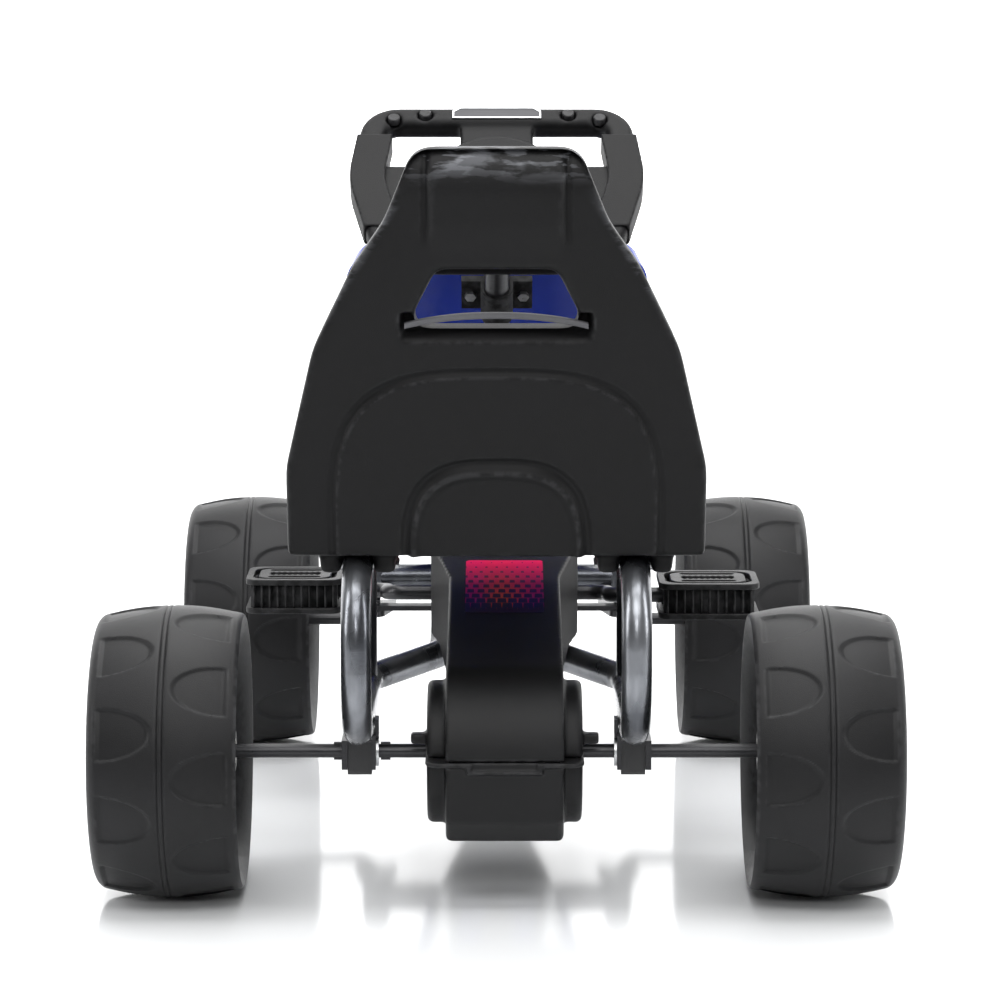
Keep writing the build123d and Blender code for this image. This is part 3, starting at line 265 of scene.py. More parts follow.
def camera():
    optics = bpy.data.cameras.new("camera")
    optics.lens = LENS
    optics.sensor_width = SENSOR
    body = placed("camera", optics)
    body.location = (CAMERA_SIDE, middle("rear_axle").y - CAMERA_BACK, CAMERA_HEIGHT)
    body.rotation_euler = (radians(90 - CAMERA_TILT), 0, 0)
    scene.camera = body


floor()
backdrop()
lights()
camera()


# ---------------------------------------------------------------- welded frame
# Bent 25 mm steel tube and pressed brackets, welded up, then sprayed a dark metallic grey and
# baked. The coat is cloudy where it went on thin.
def tube_paint():
    finish = Finish("tube_paint", (0.2, 0.21, 0.23), 0.28, Metallic=0.9, Coat_Weight=0.3, Coat_Roughness=0.1)
    flake = finish.noise(2200, 1.0)
    cloud = finish.noise(22, 4.0, finish.stretched(1, 1, 0.35))
    shade = cloud.above(0.5, 0.16) * 0.75 + flake * 0.25
    finish.set("Base Color", finish.blend(shade, (0.055, 0.059, 0.07), (0.27, 0.28, 0.3)))
    finish.set("Roughness", cloud * 0.22 + 0.17)
    finish.bump(finish.noise(260, 2.0) + flake * 0.3, 0.00012)
    return finish


TUBE_PAINT = tube_paint()
for node in (
    "front_beam", "frame_tube_left", "frame_tube_right", "seat_crossbar", "seat_struts",
    "crank_hangers", "steering_post", "lower_bearing", "shield_brackets",
):
    paint(frame["nodes"][node], TUBE_PAINT)


# ---------------------------------------------------------------- shafts, chain and fasteners
# Axle, crank, knuckles, tie bar and axle brackets are blackened steel with a thin oily sheen. The
# bolts, clamps, washers and push nuts are zinc plated, and the chain and its sprockets are bare
# steel under oil.
def black_steel():
    finish = Finish("black_steel", (0.02, 0.02, 0.022), 0.3, Metallic=0.4)
    streaks = finish.noise(90, 3.0, finish.stretched(1, 1, 6))
    finish.set("Base Color", finish.blend(streaks, (0.012, 0.012, 0.014), (0.035, 0.035, 0.038)))
    finish.set("Roughness", streaks * 0.2 + 0.22)
    finish.bump(finish.noise(500, 2.0), 0.0001)
    return finish


def zinc_plate():
    finish = Finish("zinc_plate", (0.55, 0.56, 0.57), 0.3, Metallic=1.0)
    grain = finish.noise(400, 3.0)
    finish.set("Base Color", finish.blend(grain, (0.42, 0.43, 0.44), (0.68, 0.69, 0.7)))
    finish.set("Roughness", grain * 0.2 + 0.22)
    finish.bump(grain, 0.0001)
    return finish


def oiled_steel():
    finish = Finish("oiled_steel", (0.2, 0.19, 0.18), 0.35, Metallic=0.95)
    film = finish.noise(60, 4.0)
    finish.set("Base Color", finish.blend(film, (0.09, 0.085, 0.08), (0.3, 0.29, 0.28)))
    finish.set("Roughness", film * 0.25 + 0.25)
    return finish


BLACK_STEEL, ZINC, OILED = black_steel(), zinc_plate(), oiled_steel()
for node in (
    "rear_axle", "crank", "knuckle_left", "knuckle_right", "tie_bar", "steering_column",
    "rear_bracket_left", "rear_bracket_right",
):
    paint(frame["nodes"][node], BLACK_STEEL)
for node in ("axle_washers", "push_nuts_left", "push_nuts_right", "strap_bolts", "seat_clamps"):
    paint(frame["nodes"][node], ZINC)
for node in ("rear_sprocket", "chainring", "chain"):
    paint(frame["nodes"][node], OILED)


# ---------------------------------------------------------------- bearings and bushes
# Plain nylon bearings, pressed in: natural in the hubs and the crank hangers, black in the two
# axle blocks.
def nylon(name, dark, light):
    finish = Finish(name, light, 0.45)
    grain = finish.noise(700, 2.0)
    finish.set("Base Color", finish.blend(finish.noise(30), dark, light))
    finish.set("Roughness", grain * 0.2 + 0.35)
    finish.bump(grain, 0.0001)
    return finish


NATURAL_NYLON = nylon("natural_nylon", (0.6, 0.58, 0.53), (0.74, 0.72, 0.67))
BLACK_NYLON = nylon("black_nylon", (0.012, 0.012, 0.013), (0.024, 0.024, 0.025))
for name, node in frame["nodes"].items():
    if name.startswith("hub_bushes") or name == "crank_bushes":
        paint(node, NATURAL_NYLON)
    if name.startswith("bearing_block"):
        paint(node, BLACK_NYLON)


# ---------------------------------------------------------------- wheels
# Each wheel is one hollow moulding in black plastic: half-moon pads pressed into both sides of the
# tread, a line round the middle, an open inner side and a five-spoked dish outside.
WHEEL_RADIUS = 0.125
ROUND_STEPS = 620
BORE = 0.0111
TREAD_PITCH = tau / 10
TREAD_CROWN = 0.007  # how far the tread's middle stands above its shoulders
TREAD_PEAK = -0.0045  # where the crown is highest, across the wheel
TREAD_REACH = 0.0565
TREAD_STEP = 0.0019  # between the rows of points across the tread
CORNER_IN = 0.011  # from the outer side to the tread's rounded corner
CORNER_STEPS = 8
PAD_BASE = 0.0540  # from the mid-plane to a pad's straight edge
PAD_REACH = 0.046
PAD_HALF = 0.0235  # half a pad's length round the tread
PAD_DEPTH = 0.0021
PAD_RADIUS = 0.124  # where the pad's length is measured
LINE_PLACE = 0.0022  # either side of the mid-plane
LINE_HALF = 0.0011
LINE_DEPTH = 0.0009
SPOKES = 5
SPOKE_FOOT = 0.0125  # half a spoke's width at the web
SPOKE_FACE = 0.0095
SPOKE_RISE = 0.0085
WEB_SINK = 0.004  # between the spokes
SPOKE_RIM = (0.084, 0.079)  # the radii over which a spoke rises at the rim
SPOKE_HUB = (0.028, 0.04)  # and at the hub


def smooth_step(low, high, value):
    t = min(max((value - low) / (high - low), 0.0), 1.0)
    return t * t * (3 - 2 * t)


def black_moulding(name, shade, roughness, grain, gloss=0.22, scuffs_and_highlight=None):
    """Black plastic as it leaves the mould: fine grain, faint cloudiness, dulled on its edges."""
    finish = Finish(name, (shade,) * 3, roughness, Specular_IOR_Level=gloss)
    cloud = finish.noise(14, 4.0)
    fine = finish.noise(grain, 2.0)
    dark, light = (shade * 0.7,) * 3, (shade * 1.3, shade * 1.3, shade * 1.45)
    worn = finish.edges().above(0.53, 0.025) * finish.noise(120, 4.0).above(0.5, 0.12)
    colour = finish.blend(worn * 0.1, finish.blend(cloud, dark, light), (0.2, 0.2, 0.21))
    # The optional mask lays on a pale colour: on the seat it is scrapes mixed with painted highlight along
    # the top edges.
    if scuffs_and_highlight:
        colour = finish.blend(scuffs_and_highlight(finish), colour, (0.17, 0.175, 0.19))
    finish.set("Base Color", colour)
    finish.set("Roughness", cloud * 0.12 + fine * 0.1 + (roughness - 0.1) + worn * 0.1)
    finish.bump(fine, 0.00022)
    return finish


def tread_depth(along, turn):
    """How deep the tread is pressed in, at a place across it and round it."""
    side_turn = 0 if along > 0 else TREAD_PITCH / 2
    off = (turn + side_turn + TREAD_PITCH / 2) % TREAD_PITCH - TREAD_PITCH / 2
    across = (PAD_BASE - abs(along)) / PAD_REACH
    round_by = off * PAD_RADIUS / PAD_HALF
    inside = 1 - sqrt(max(across, 0) ** 2 + round_by**2)
    pad = smooth_step(0, 0.055, inside) * smooth_step(0, 0.0016, PAD_BASE - abs(along))
    line = max(0.0, 1 - abs(abs(along) - LINE_PLACE) / LINE_HALF)
    return PAD_DEPTH * pad + LINE_DEPTH * line


def tread_places(half):
    """Places across the tread, closest together over its middle line."""
    fine = [0.0, 0.0008, 0.0015, LINE_PLACE, 0.0029, 0.0038]
    rows = [k * TREAD_STEP for k in range(-32, 28) if abs(k) > 2]
    places = sorted(set(fine + [-f for f in fine] + rows))
    return [along for along in places if -half + 0.001 < along < half - CORNER_IN]


def wheel_profile(half):
    """Stations over the wheel from its inner hub to its outer hub: (along the axle, radius, kind)."""
    shoulder = WHEEL_RADIUS - TREAD_CROWN
    inner = [  # the hub's sleeve, the back of the dish, then the inside of the drum to its lip
        (-half + 0.008, BORE),
        (-half + 0.008, 0.0172),
        (half - 0.034, 0.0195),
        (half - 0.031, 0.024),
        (half - 0.030, 0.076),
        (half - 0.033, 0.081),
        (0.0, 0.083),
        (-half + 0.016, 0.084),
        (-half + 0.013, 0.0855),
        (-half + 0.0005, shoulder - 0.004),
        (-half + 0.0002, shoulder - 0.0018),
    ]
    tread = []
    for along in tread_places(half):
        reach = (along - TREAD_PEAK) / TREAD_REACH
        tread.append((along, shoulder + TREAD_CROWN * (1 - reach**2)))
    corner = []
    for k in range(1, CORNER_STEPS + 1):
        a = k / CORNER_STEPS * pi / 2
        corner.append((half - CORNER_IN + 0.0108 * sin(a), shoulder - 0.014 + 0.0138 * cos(a)))
    dish = [(half - 0.0002, 0.0985), (half - 0.001, 0.0965), (half - 0.0155, 0.0885), (half - 0.0185, 0.086)]
    web = [(half - 0.0205, r) for r in (0.083, 0.081, 0.078, 0.072, 0.066, 0.060, 0.054, 0.048, 0.042)]
    web += [(half - 0.0205, 0.038), (half - 0.0195, 0.034), (half - 0.0175, 0.0295)]
    hub = [(half - 0.017, 0.024), (half - 0.017, BORE), (half - 0.03, BORE)]
    kinds = {"inner": inner, "tread": tread, "corner": corner, "dish": dish, "web": web, "hub": hub}
    return [(along, reach, kind) for kind, points in kinds.items() for along, reach in points]


def wheel_mesh(name, centre, side, half):
    """A wheel turned from its profile, with the tread pressed in and the spokes raised."""
    profile = wheel_profile(half)
    shape = bmesh.new()
    rings = []
    for k in range(ROUND_STEPS):
        turn = tau * k / ROUND_STEPS
        ring = []
        for along, reach, kind in profile:
            if kind == "tread":
                reach -= tread_depth(along, turn)
            if kind == "web":
                off = (turn % (tau / SPOKES)) - tau / SPOKES / 2
                spoke = smooth_step(SPOKE_FOOT, SPOKE_FACE, abs(off) * reach)
                rise = smooth_step(*SPOKE_RIM, reach) * smooth_step(*SPOKE_HUB, reach)
                along += SPOKE_RISE * spoke * rise - WEB_SINK * (1 - spoke) * rise
            place = (centre.x + side * along, centre.y + reach * sin(turn), centre.z + reach * cos(turn))
            ring.append(shape.verts.new(place))
        rings.append(ring)
    for k, ring in enumerate(rings):
        following = rings[(k + 1) % ROUND_STEPS]
        for j in range(len(profile)):
            after = (j + 1) % len(profile)
            shape.faces.new((ring[j], ring[after], following[after], following[j]))
    bmesh.ops.recalc_face_normals(shape, faces=shape.faces)
    for face in shape.faces:
        face.smooth = True
    mesh = built(name, shape)
    mesh.set_sharp_from_angle(angle=radians(50))
    return mesh


WHEEL_PLASTIC = black_moulding("wheel_plastic", 0.0085, 0.42, 1500)
CAP_PLASTIC = black_moulding("cap_plastic", 0.009, 0.3, 2500)
WHEEL_BODIES = {
    "rear_left": "rear_left_wheel",
    "rear_right": "rear_axle",
    "front_left": "front_left_wheel",
    "front_right": "front_right_wheel",
}
for place, body in WHEEL_BODIES.items():
    name, node = f"tyre_{place}", f"wheel_{place}"
    low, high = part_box(node)
    side = -1 if "left" in place else 1
    wheel = placed(name, wheel_mesh(name, middle(node), side, (high[0] - low[0]) / 2))
    paint(wheel, WHEEL_PLASTIC)
    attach(wheel, body)
    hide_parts(node)
    paint(frame["nodes"][f"hub_cap_{place}"], CAP_PLASTIC)


# ---------------------------------------------------------------- seat
# One blow-moulded shell in black, its back and pan joined by side bolsters. The back carries a head
# pad between two grooves, a hand hole over a trough, and two arched ridges that stiffen it. Heights
# are above the floor.
SEAT_TOP = 0.649
BACK_RUN, BACK_RISE = 0.0933, 0.346  # how far the back leans, over its height
BACK_LEAN = atan2(BACK_RUN, BACK_RISE)
BACK_INSET = 0.0043  # from the seat's rearmost point back to the plane of its rear face

GROOVE_X = 0.0575  # the head pad's grooves, at GROOVE_TOP
GROOVE_TOP = 0.64
GROOVE_SPREAD = 0.01
GROOVE_HALF = 0.0026
GROOVE_DEPTH = 0.0034
PAD_RISE = 0.0035
TOP_ROLL = 0.02  # how far the top edge rolls forward

BIG_ARCH = (0.1345, 0.330, 0.4605, 3.2)  # half-width, foot, top and squareness
BIG_RISE = 0.0034
BIG_LIP = 0.0016
SMALL_ARCH = (0.0725, 0.300, 0.3815, 3.0)
SMALL_RISE = 0.0052
SMALL_DISH = 0.0030
SMALL_RUT = 0.0022

TROUGH_DEPTH = 0.011
TROUGH_FOOT = 0.4865
TROUGH_BEND = 0.072  # where the trough's foot turns up
TROUGH_CURVE = 60

LIP_HALF = 0.0752
LIP_DEEP = 0.013
LIP_THICK = 0.0052
LIP_FOOT = 0.5020
LIP_BOW = 0.0085
LIP_INSET = 0.0012
LIP_STEPS = 48
LIP_SIDES = 20


def separate_shells(shape):
    """The groups of vertices that are joined by edges."""
    left = set(shape.verts)
    shells = []
    while left:
        found, edge = set(), [left.pop()]
        while edge:
            vert = edge.pop()
            found.add(vert)
            for link in vert.link_edges:
                other = link.other_vert(vert)
                if other in left:
                    left.discard(other)
                    edge.append(other)
        shells.append(found)
    return shells


def width(verts):
    return max(v.co.x for v in verts) - min(v.co.x for v in verts)


def cad_mesh(node):
    """A copy of a CAD node's mesh."""
    return frame["nodes"][node].data.copy()


def outer_shell(node):
    """A copy of a CAD node's mesh without the closed hollow inside it."""
    mesh = cad_mesh(node)
    shape = bmesh.new()
    shape.from_mesh(mesh)
    bmesh.ops.remove_doubles(shape, verts=shape.verts, dist=1e-6)
    shells = separate_shells(shape)
    widest = max(shells, key=width)
    inner = [vert for shell in shells if shell is not widest for vert in shell]
    bmesh.ops.delete(shape, geom=inner, context="VERTS")
    shape.to_mesh(mesh)
    shape.free()
    return mesh


def evaluated(piece):
    """A new mesh of a piece as its modifiers or its curve leave it."""
    bpy.context.view_layer.update()
    return bpy.data.meshes.new_from_object(piece.evaluated_get(bpy.context.evaluated_depsgraph_get()))


def moulded(name, mesh, voxel, rounds, body, finish, node):
    """A moulding with soft corners: the mesh is filled with voxels and its skin is relaxed."""
    piece = placed(name, mesh)
    fill = piece.modifiers.new("fill", "REMESH")
    fill.mode = "VOXEL"
    fill.voxel_size = voxel
    relax = piece.modifiers.new("relax", "SMOOTH")
    relax.factor = 0.5
    relax.iterations = rounds
    result = evaluated(piece)
    piece.modifiers.clear()
    piece.data = result
    result.name = name
    for face in result.polygons:
        face.use_smooth = True
    paint(piece, finish)
    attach(piece, body)
    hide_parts(node)
    return piece


def ramp(low, high, value):
    """smooth_step for arrays of values."""
    t = np.clip((value - low) / (high - low), 0.0, 1.0)
    return t * t * (3 - 2 * t)


def arch(off, z, half, foot, top, power):
    """Under 1 inside an arch that stands on the seat's lower edge, over 1 outside it."""
    rise = np.clip((z - foot) / (top - foot), 0.0, None)
    return ((off / half) ** power + rise**power) ** (1 / power)


def head_pad(off, z):
    """A pad that stands proud between two grooves, under a top edge that rolls forward."""
    from_groove = np.abs(off - GROOVE_X - (GROOVE_TOP - z) * GROOVE_SPREAD)
    groove = ramp(GROOVE_HALF, 0.0, from_groove) * ramp(0.566, 0.585, z) * ramp(0.655, 0.63, z)
    pad = ramp(0.058, 0.050, off) * ramp(0.556, 0.59, z)
    return GROOVE_DEPTH * groove - PAD_RISE * pad + TOP_ROLL * ramp(0.606, 0.66, z) ** 1.4


def ridges(off, z):
    """A wide raised arch with a groove along its edge, and a small one with a dished middle."""
    big = arch(off, z, *BIG_ARCH)
    small = arch(off, z, *SMALL_ARCH)
    wide = BIG_LIP * ramp(0.03, 0.0, np.abs(big - 1.02)) - BIG_RISE * ramp(1.012, 0.990, big)
    low = SMALL_DISH * ramp(0.96, 0.86, small) - SMALL_RISE * ramp(1.03, 0.96, small)
    return wide + low + SMALL_RUT * ramp(0.06, 0.0, np.abs(small - 1.06))


def trough(off, z):
    """A hollow for the fingers under the hand hole, turned up at both ends."""
    foot = TROUGH_FOOT + TROUGH_CURVE * np.clip(off - TROUGH_BEND, 0.0, None) ** 2
    return TROUGH_DEPTH * ramp(0.0800, 0.0750, off) * ramp(foot, foot + 0.011, z) * ramp(0.514, 0.509, z)


def press_back(seat, ahead):
    """Presses the relief into the seat's rear face, as far forward as a given Y."""
    mesh = seat.data
    count = len(mesh.vertices)
    places, normals = np.empty(count * 3), np.empty(count * 3)
    mesh.vertices.foreach_get("co", places)
    mesh.vertices.foreach_get("normal", normals)
    places, normals = places.reshape(-1, 3), normals.reshape(-1, 3)
    x, y, z = places.T
    off = np.abs(x)
    facing = ramp(-0.3, -0.8, normals[:, 1]) * ramp(0.300, 0.306, z) * (y < ahead)
    push = (head_pad(off, z) + ridges(off, z) + trough(off, z)) * facing
    places[:, 1] += push * cos(BACK_LEAN)
    places[:, 2] += push * sin(BACK_LEAN)
    mesh.vertices.foreach_set("co", places.ravel())
    mesh.update()


def rear_face(height):
    """Y of the seat's sloping rear face at a height, for a number or a Signal."""
    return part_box("seat_shell")[0].y - BACK_INSET + (SEAT_TOP - height) * (BACK_RUN / BACK_RISE)


def scrapes_and_highlight(finish):
    """Pale scraped patches and painted highlight along the head pad's top edge and the shoulders, on the
    rear side only.
    """
    height = finish.axis("Z")
    half = abs(finish.axis("X"))
    top = height.above(0.630, 0.014)
    edge = 0.0975 + (0.576 - height) * 0.62
    shoulder = (half - edge).above(0.0, 0.006) * height.above(0.515, 0.02) * (1 - height.above(0.6, 0.02))
    rear_only = 1 - (finish.axis("Y") - rear_face(height)).above(0.024, 0.008)
    blotch = finish.noise(38, 5.0, finish.stretched(0.55, 1, 1.5)).above(0.53, 0.05)
    scratch = finish.noise(150, 4.0, finish.stretched(0.3, 1, 1.4)).above(0.56, 0.04)
    return (top * 0.75 + shoulder * 0.5) * (blotch * 0.6 + scratch * 0.5) * rear_only


def squared(value, power):
    """A sine or cosine pushed out towards 1, which turns a round section into a boxy one."""
    return abs(value) ** power * (1 if value > 0 else -1)


def hand_lip():
    """The rolled edge along the bottom of the hand hole, bowed up in the middle."""
    shape = bmesh.new()
    rings = []
    for k in range(LIP_STEPS + 1):
        x = LIP_HALF * (2 * k / LIP_STEPS - 1)
        z = LIP_FOOT + LIP_BOW * (1 - (abs(x) / LIP_HALF) ** 2.2)
        y = rear_face(z) - LIP_INSET
        ring = []
        for step in range(LIP_SIDES):
            a = tau * step / LIP_SIDES
            forward = LIP_DEEP / 2 * (1 + squared(cos(a), 0.4))
            rise = LIP_THICK / 2 * squared(sin(a), 0.6)
            ring.append(shape.verts.new((x, y + forward, z + rise)))
        rings.append(ring)
    for first, second in zip(rings, rings[1:]):
        for j in range(LIP_SIDES):
            after = (j + 1) % LIP_SIDES
            shape.faces.new((first[j], first[after], second[after], second[j]))
    shape.faces.new(rings[0])
    shape.faces.new(rings[-1])
    bmesh.ops.recalc_face_normals(shape, faces=shape.faces)
    mesh = built("hand_lip", shape)
    for face in mesh.polygons:
        face.use_smooth = len(face.vertices) == 4
    lip = placed("hand_lip", mesh)
    paint(lip, black_moulding("trimmed_edge", 0.085, 0.5, 900))
    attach(lip, "seat")


# The seat's pale marks on its top edge and shoulders are scrapes plus a painted highlight where the overhead
# light catches them.
SEAT_PLASTIC = black_moulding("seat_plastic", 0.0048, 0.44, 1900, 0.16, scrapes_and_highlight)
shell = outer_shell("seat_shell")
seat = moulded("seat", shell, 0.0022, 34, "seat", SEAT_PLASTIC, "seat_shell")
press_back(seat, middle("rear_axle").y - 0.03)
hand_lip()


# ---------------------------------------------------------------- chain case and nose skirt
# Two black injection mouldings closed round the chain, the upper one running forward as a tunnel
# over the chain, and a black skirt under the shield's nose.
CASE_PLASTIC = black_moulding("case_plastic", 0.007, 0.36, 2400)
for name, node, voxel, rounds in (
    ("case_upper", "chain_case_upper", 0.0015, 9),
    ("case_lower", "chain_case_lower", 0.0015, 5),
    ("skirt", "nose_skirt", 0.0016, 5),
):
    moulded(name, cad_mesh(node), voxel, rounds, "frame", CASE_PLASTIC, node)


# ---------------------------------------------------------------- label on the tunnel
# A printed film stuck to the sloping top of the tunnel: crimson that turns to orange towards the
# rear, with staggered rows of dark lozenges that grow towards the rear.
LABEL_ROWS = 11
LABEL_COLUMNS = 7.5
CRIMSON = (0.8, 0.006, 0.085)
ORANGE = (0.9, 0.11, 0.006)
PURPLE = (0.42, 0.006, 0.16)


def from_middle(value):
    """How far a value is from the middle of its unit cell."""
    return abs(value.maths("FRACT", value) - 0.5)


def label_print():
    finish = Finish("label_print", (0.79, 0.007, 0.08), 0.3, Coat_Weight=0.25)
    low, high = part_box("guard_label")
    ahead = (finish.axis("Y") - low[1]) / (high[1] - low[1])
    across = (finish.axis("X") - low[0]) / (high[0] - low[0])
    centre_part = 1 - abs(across - 0.5).above(0.24, 0.2)
    rear_part = 1 - ahead.above(0.42, 0.36)
    ground = finish.blend(rear_part * centre_part, CRIMSON, ORANGE)
    ground = finish.blend(rear_part * (1 - centre_part), ground, PURPLE)
    row = ahead * LABEL_ROWS
    stagger = row.maths("MODULO", row.maths("FLOOR", row), 2.0) * 0.5
    column = across * LABEL_COLUMNS + stagger
    size = 0.53 - ahead * 0.5
    within_width = (size - from_middle(column)).above(0.0, 0.015)
    lozenge = within_width * (size + 0.04 - from_middle(row)).above(0.0, 0.02)
    dark = finish.blend(rear_part, (0.06, 0.004, 0.03), (0.006, 0.004, 0.03))
    finish.set("Base Color", finish.blend(lozenge, ground, dark))
    finish.set("Roughness", finish.noise(80) * 0.12 + 0.26)
    finish.bump(finish.noise(300, 2.0), 0.00008)
    return finish


paint(frame["nodes"]["guard_label"], label_print())


# ---------------------------------------------------------------- front shield
# A glossy blue moulded shell, open towards the rider, that slopes down ahead of the steering
# column and is held by two brackets on the post.
def blue_gloss():
    finish = Finish("blue_gloss", (0.001, 0.017, 0.24), 0.22, Specular_IOR_Level=0.3)
    cloud = finish.noise(6, 3.0)
    finish.set("Base Color", finish.blend(cloud, (0.0003, 0.014, 0.2), (0.0008, 0.024, 0.32)))
    finish.set("Roughness", cloud * 0.06 + 0.16)
    finish.bump(finish.noise(45, 2.0), 0.0002)
    return finish


moulded("shield", cad_mesh("front_shield"), 0.0017, 6, "frame", blue_gloss(), "front_shield")


# ---------------------------------------------------------------- steering wheel
# A black moulded wheel, flat on top, with a round pad, two soft grips, four push buttons and a
# plain metal plate across the top. A strap and a plate bolted to the post hold its column.
PLATE_HALF = (0.041, 0.0075)
PLATE_CUT = 0.006
PLATE_RIM = 0.0016
PLATE_LAP = 0.001  # how far the dark field stops short of the plate's edge
PLATE_THICK = 0.0015
FIELD_THICK = 0.0009


def flat_loops(name, loops, thick, bevel, origin, right, up):
    """A flat plate cut to nested outlines, with eased edges, standing on the plane given."""
    curve = bpy.data.curves.new(name, "CURVE")
    curve.dimensions = "2D"
    curve.fill_mode = "BOTH"
    curve.extrude = thick / 2 - bevel
    curve.bevel_depth = bevel
    curve.bevel_resolution = 2
    curve.offset = -bevel
    for loop in loops:
        spline = curve.splines.new("POLY")
        spline.points.add(len(loop) - 1)
        spline.use_cyclic_u = True
        for point, (u, v) in zip(spline.points, loop):
            point.co = (u, v, 0, 1)
    drawn = placed(name, curve)
    mesh = evaluated(drawn)
    bpy.data.objects.remove(drawn)
    out = right.cross(up)
    turned = Matrix((right, up, out)).transposed().to_4x4()
    mesh.transform(Matrix.Translation(origin + out * thick / 2) @ turned)
    mesh.name = name
    return placed(name, mesh)


def cut_corners(half_u, half_v, cut):
    """A plate's outline with its two upper corners cut."""
    return [
        (-half_u, -half_v), (half_u, -half_v), (half_u, half_v - cut * 0.8), (half_u - cut, half_v),
        (cut - half_u, half_v), (-half_u, half_v - cut * 0.8),
    ]


def plate_dark():
    finish = Finish("plate_dark", (0.02, 0.02, 0.022), 0.35, Metallic=0.6)
    brushed = finish.noise(900, 2.0, finish.stretched(0.05, 1, 1))
    finish.set("Base Color", finish.blend(brushed, (0.012, 0.012, 0.014), (0.05, 0.05, 0.054)))
    finish.set("Roughness", brushed * 0.2 + 0.25)
    return finish


def name_plate():
    """A plain plate: a plated rim round a dark field."""
    turn = next(joint for joint in frame["joints"] if joint["name"] == "steering_turn")
    out, right = Vector(turn["axis"]).normalized(), Vector((1, 0, 0))
    up = out.cross(right)
    foot = middle("badge_plate") - out * PLATE_THICK / 2
    u, v = PLATE_HALF
    rim = [cut_corners(u, v, PLATE_CUT), cut_corners(u - PLATE_RIM, v - PLATE_RIM, PLATE_CUT)]
    inside = [cut_corners(u - PLATE_LAP, v - PLATE_LAP, PLATE_CUT)]
    border = flat_loops("plate_rim", rim, PLATE_THICK, 0.0003, foot, right, up)
    field = flat_loops("plate_field", inside, FIELD_THICK, 0.0001, foot, right, up)
    for piece, finish, slot in ((border, ZINC, "badge_metal"), (field, plate_dark(), "steering_plastic")):
        paint(piece, finish)
        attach(piece, "steering")
    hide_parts("badge_plate")


WHEEL_BLACK = black_moulding("steering_black", 0.005, 0.4, 2200, 0.12)
GRIP_BLACK = black_moulding("grip_black", 0.0045, 0.46, 1200, 0.12)
STRAP_BLACK = black_moulding("strap_black", 0.006, 0.5, 1500, 0.08)
BUTTON_BLACK = black_moulding("button_black", 0.012, 0.3, 3000)
rim = cad_mesh("steering_wheel")
moulded("rim", rim, 0.0016, 12, "steering", WHEEL_BLACK, "steering_wheel")
for side in ("left", "right"):
    node = f"grip_{side}"
    moulded(f"rim_grip_{side}", cad_mesh(node), 0.0012, 10, "steering", GRIP_BLACK, node)
paint(frame["nodes"]["hub_pad"], WHEEL_BLACK)
for node in ("column_strap", "head_plate"):
    paint(frame["nodes"][node], STRAP_BLACK)
for place in ("outer_left", "inner_left", "inner_right", "outer_right"):
    paint(frame["nodes"][f"button_{place}"], BUTTON_BLACK)
name_plate()


# ---------------------------------------------------------------- pedals
# Black moulded blocks that turn on the crank's ends: two slotted treads, one on top and one below,
# on ribbed walls with a channel between them for the spindle.
TREAD_THICK = 0.0055
TREAD_CORNER = 0.013
RIM_WIDE = (0.0065, 0.0075)  # the tread's outer rim, at its ends and along its sides
ISLAND_IN = (0.0115, 0.0125)  # where the raised middle starts
BAR_AT = 0.0195  # the long openings, either side of the saw-toothed slot
WALL_THICK = 0.0055
WALL_IN = 0.006  # from the tread's edge to the wall
RIBS = 5  # either side of the middle one
RIB_HALF = 0.0011
RIB_FROM, RIB_TO = 0.0003, 0.0032  # outside the wall
END_HALF = 0.002
END_IN = 0.007
END_GAP = 0.012  # half the channel for the spindle
OVERLAP = 0.0005  # how far the walls run into each tread


def rounded(half_u, half_v, radius, steps=7):
    """A rectangle with rounded corners."""
    loop = []
    for corner, (su, sv) in enumerate(((1, 1), (-1, 1), (-1, -1), (1, -1))):
        for k in range(steps + 1):
            a = pi / 2 * (corner + k / steps)
            loop.append((su * (half_u - radius) + radius * cos(a), sv * (half_v - radius) + radius * sin(a)))
    return loop


def saw_slot(half_u, half_v, teeth, bite):
    """A long slot with saw-toothed edges."""
    upper = []
    for k in range(2 * teeth + 1):
        upper.append((half_u * (1 - k / teeth), half_v + (bite if k % 2 else 0.0)))
    return upper + [(-u, -v) for u, v in upper]


def oblong(low_u, high_u, low_v, high_v, sign=1):
    """A rectangle, on one side of the middle or mirrored to the other."""
    return [(u, sign * v) for u, v in ((low_u, low_v), (high_u, low_v), (high_u, high_v), (low_u, high_v))]


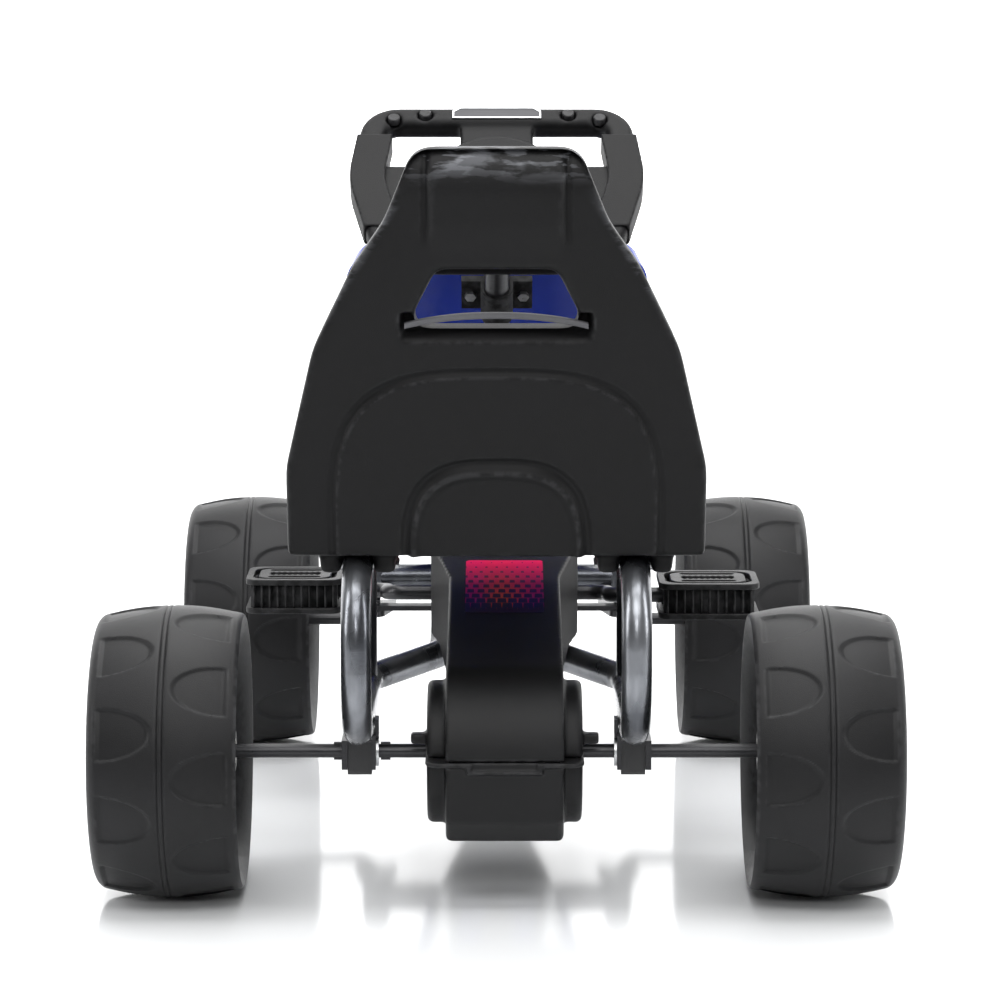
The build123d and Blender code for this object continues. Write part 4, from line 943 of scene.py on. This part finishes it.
def tread_outlines(x, y):
    """A tread's edge, its ring of slots, the raised middle, and the openings in it."""
    outlines = [
        rounded(x, y, TREAD_CORNER),
        rounded(x - RIM_WIDE[0], y - RIM_WIDE[1], 0.017),
        rounded(x - ISLAND_IN[0], y - ISLAND_IN[1], 0.014),
        saw_slot(x - 0.022, 0.0055, 9, 0.004),
    ]
    for v in (-BAR_AT, BAR_AT):
        outlines.append([(u, v + w) for u, w in rounded(x - 0.021, 0.0045, 0.004, 4)])
    return outlines


def wall_outlines(x, y, sign):
    """A pedal's side wall, with ribs on its outside."""
    face = y - WALL_IN
    outlines = [oblong(WALL_IN - x, x - WALL_IN, face - WALL_THICK, face, sign)]
    for k in range(-RIBS, RIBS + 1):
        u = k * (x - 0.008) / RIBS
        outlines.append(oblong(u - RIB_HALF, u + RIB_HALF, face + RIB_FROM, face + RIB_TO, sign))
    return outlines


def end_outlines(x, y, sign):
    """A pedal's end wall, in two halves either side of the spindle."""
    u = sign * (x - END_IN)
    return [oblong(u - END_HALF, u + END_HALF, END_GAP, y - END_IN, part) for part in (1, -1)]


def pedal(side, finish):
    node = f"pedal_{side}"
    low, high = (Vector(corner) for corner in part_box(node))
    centre, half = (low + high) / 2, (high - low) / 2
    right, up = Vector((1, 0, 0)), Vector((0, 1, 0))
    core = high.z - low.z - 2 * (TREAD_THICK - OVERLAP)
    inside = low.z + TREAD_THICK - OVERLAP
    plan = []
    for level in (high.z - TREAD_THICK, low.z):
        plan.append(("tread", tread_outlines(half.x, half.y), TREAD_THICK, 0.0009, level))
    for sign in (-1, 1):
        plan.append(("core", wall_outlines(half.x, half.y, sign), core, 0.0004, inside))
    for sign in (-1, 1):
        plan.append(("end", end_outlines(half.x, half.y, sign), core, 0.0004, inside))
    for count, (part, outlines, thick, bevel, level) in enumerate(plan):
        foot = Vector((centre.x, centre.y, level))
        piece = flat_loops(f"{node}_{part}_{count}", outlines, thick, bevel, foot, right, up)
        paint(piece, finish)
        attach(piece, node)
        if count == 0:
            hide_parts(node)


PEDAL_BLACK = black_moulding("pedal_black", 0.006, 0.4, 2000)
for side in ("left", "right"):
    pedal(side, PEDAL_BLACK)
